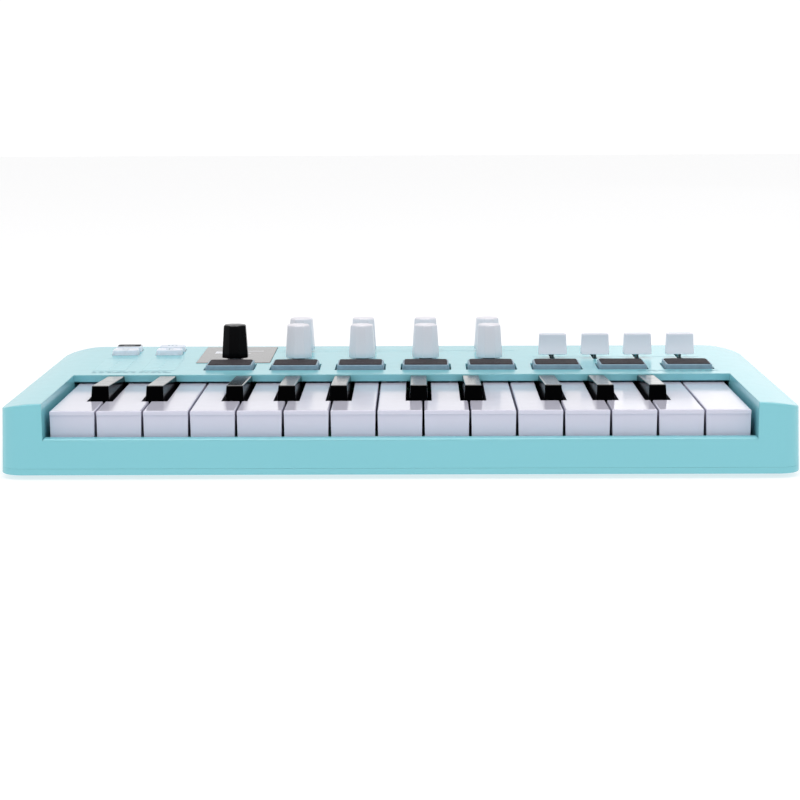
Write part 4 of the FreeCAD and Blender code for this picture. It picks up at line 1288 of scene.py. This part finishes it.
# ---------------------------------------------------------------- rear and underside
@dataclass
class RearPanel:
    """Metal and contacts of the sockets in the back wall."""

    jack_radius: float = 3.25 * MM
    din_radius: float = 6.8 * MM
    din_circle: float = 3.4 * MM

    def mount(self, name: str) -> Vector:
        """Place of a mount of the record."""
        found = [m for m in frame["record"]["mounts"] if m["name"] == name][0]
        return Vector(found["pos_m"])

    def build(self) -> None:
        """Build the jack's nut and the round socket's shield, face and contacts."""
        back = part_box("rear_sockets")[1].y
        outwards = Vector((0, 1, 0))
        jack = self.mount("pedal_jack")
        nut = Piece("jack_nut")
        outlines = [(along, soft_polygon(6, 6.0 * MM - inset * MM, 0.4 * MM))
                    for along, inset in ((-1.2, 0.0), (0.3, 0.0), (0.5, 0.3))]
        bore = self.jack_radius / MM + 0.05
        outlines += [(along, circle(radius * MM, len(outlines[0][1])))
                     for along, radius in ((0.5, 4.6), (0.9, 4.5), (0.9, bore), (-1.2, bore))]
        rings = [[Vector((jack.x + x, back + along * MM, jack.z + y)) for x, y in outline]
                 for along, outline in outlines]
        nut.skin(rings + [rings[0]], (False, False))
        nut.finish(Palette.TIN, ROOT, "socket_black")
        din = self.mount("din_socket")
        shield = Piece("din_shield")
        base = Vector((din.x, back - 8.6 * MM, din.z))
        radius, long = self.din_radius, 8.2 * MM
        outer, inner = radius - 0.05 * MM, radius - 0.45 * MM
        shield.lathe([(0.0, outer), (long, outer), (long, inner), (0.0, inner), (0.0, outer)],
                     base, outwards, 48, (False, False))
        shield.finish(Palette.TIN, ROOT, "socket_black")
        face = Piece("din_contact_face")
        edge = radius - 1.0 * MM
        face.lathe([(0.0, edge), (5.8 * MM, edge), (6.0 * MM, edge - 0.2 * MM)], base, outwards, 48)
        face.finish(Palette.SOCKET, ROOT, "socket_black")
        cups = Piece("din_contacts")
        rim, hole = 0.95 * MM, 0.7 * MM
        for turn in (0, 45, 90, 135, 180):
            angle = math.radians(turn)
            spot = base + Vector((self.din_circle * math.cos(angle), 5.9 * MM,
                                  -self.din_circle * math.sin(angle)))
            cups.lathe([(0.0, rim), (0.25 * MM, rim), (0.25 * MM, hole), (-0.6 * MM, hole)],
                       spot, outwards, 20)
        cups.finish(Palette.GOLD, ROOT, "socket_black")


@dataclass
class Underside:
    """Feet and screws."""

    def build(self) -> None:
        """Dress the feet and the screws."""
        dress_node(Palette.FOOT, "rubber_feet")
        dress_node(Palette.ZINC, "case_screws")


# ---------------------------------------------------------------- studio
@dataclass
class Studio:
    """Pale floor, soft light and the camera."""

    eye: Vector = field(default_factory=lambda: Vector((8.4, -1132.8, 179.5)) * MM)
    pitch: float = 8.005
    yaw: float = -0.464
    roll: float = -0.219
    lens: float = 104.81
    front_light: float = 0.78
    back_light: float = 1.08
    zenith_share: float = 0.62
    overhead_power: float = 12.0
    top_power: float = 20.0
    back_power: float = 1.6
    floor_side: float = 8.0

    def build_floor(self) -> None:
        """Lay the floor under the feet."""
        piece = bmesh.new()
        bmesh.ops.create_grid(piece, x_segments=1, y_segments=1, size=self.floor_side / 2)
        data = bpy.data.meshes.new("floor")
        piece.to_mesh(data)
        piece.free()
        floor = bpy.data.objects.new("floor", data)
        bpy.context.scene.collection.objects.link(floor)
        Palette.FLOOR.dress(floor)

    def build_room(self) -> None:
        """Surround the scene with a white room, dimmer in front and overhead than at the back."""
        world = bpy.data.worlds.new("white_room")
        bpy.context.scene.world = world
        world.use_nodes = True
        tree = world.node_tree
        place = tree.nodes.new("ShaderNodeTexCoord")
        split = tree.nodes.new("ShaderNodeSeparateXYZ")
        tree.links.new(place.outputs["Generated"], split.inputs["Vector"])
        product = tree.nodes.new("ShaderNodeMath")
        product.operation = "MULTIPLY"
        ranges = (("Y", -0.9, 0.3, self.front_light, self.back_light),
                  ("Z", 0.3, 0.7, 1.0, self.zenith_share))
        for index, (axis, start, end, low, high) in enumerate(ranges):
            level = tree.nodes.new("ShaderNodeMapRange")
            level.interpolation_type = "SMOOTHSTEP"
            for name, value in (("From Min", start), ("From Max", end),
                                ("To Min", low), ("To Max", high)):
                level.inputs[name].default_value = value
            tree.links.new(split.outputs[axis], level.inputs["Value"])
            tree.links.new(level.outputs["Result"], product.inputs[index])
        room = tree.nodes["Background"]
        tree.links.new(product.outputs["Value"], room.inputs["Strength"])
        room.inputs["Color"].default_value = (1.0, 1.0, 1.0, 1.0)

    def build_lamps(self) -> None:
        """Hang a soft box overhead, and two white cards that show only as gloss."""
        lamps = (("overhead_box", Vector((0.0, -0.5, 1.5)), (1.6, 1.6), self.overhead_power, True),
                 ("top_card", Vector((0.0, -0.1, 1.3)), (1.8, 1.2), self.top_power, False),
                 ("back_card", Vector((1.1, 2.2, 0.45)), (1.8, 0.8), self.back_power, False))
        for name, spot, (wide, tall), power, lights_all in lamps:
            lamp = bpy.data.lights.new(name, "AREA")
            lamp.shape, lamp.energy = "RECTANGLE", power
            lamp.size, lamp.size_y = wide, tall
            made = bpy.data.objects.new(name, lamp)
            made.visible_diffuse = lights_all
            made.location = spot
            made.rotation_mode = "QUATERNION"
            made.rotation_quaternion = (-spot).to_track_quat("-Z", "Y")
            bpy.context.scene.collection.objects.link(made)

    def build_camera(self) -> None:
        """Set up the camera from its place and angles."""
        pitch, yaw, roll = (math.radians(angle) for angle in (self.pitch, self.yaw, self.roll))
        ahead = Vector((math.sin(yaw) * math.cos(pitch), math.cos(yaw) * math.cos(pitch),
                        -math.sin(pitch)))
        right = Vector((math.cos(yaw), -math.sin(yaw), 0))
        above = right.cross(ahead)
        x_axis = right * math.cos(roll) + above * math.sin(roll)
        y_axis = above * math.cos(roll) - right * math.sin(roll)
        lens = bpy.data.cameras.new("camera")
        lens.lens, lens.sensor_width = self.lens, 36
        lens.clip_start, lens.clip_end = 0.05, 50
        camera = bpy.data.objects.new("camera", lens)
        camera.matrix_world = Matrix.Translation(self.eye) @ Matrix(
            (x_axis, y_axis, -ahead)).transposed().to_4x4()
        bpy.context.scene.collection.objects.link(camera)
        bpy.context.scene.camera = camera

    def build(self) -> None:
        """Build the studio."""
        self.build_floor()
        self.build_room()
        self.build_lamps()
        self.build_camera()
        bpy.context.scene.view_settings.view_transform = "Standard"


def main() -> None:
    """Build every sub-assembly in order."""
    logging.basicConfig(level=logging.INFO, format="%(name)s %(message)s")
    for part in (Studio(), CaseShell(), KeyBed(), DrumPads(), EncoderKnobs(), FaderBank(),
                 ButtonPanel(), DisplayPlate(), Electronics(), RearPanel(), Underside()):
        part.build()


if __name__ == "__main__":
    main()
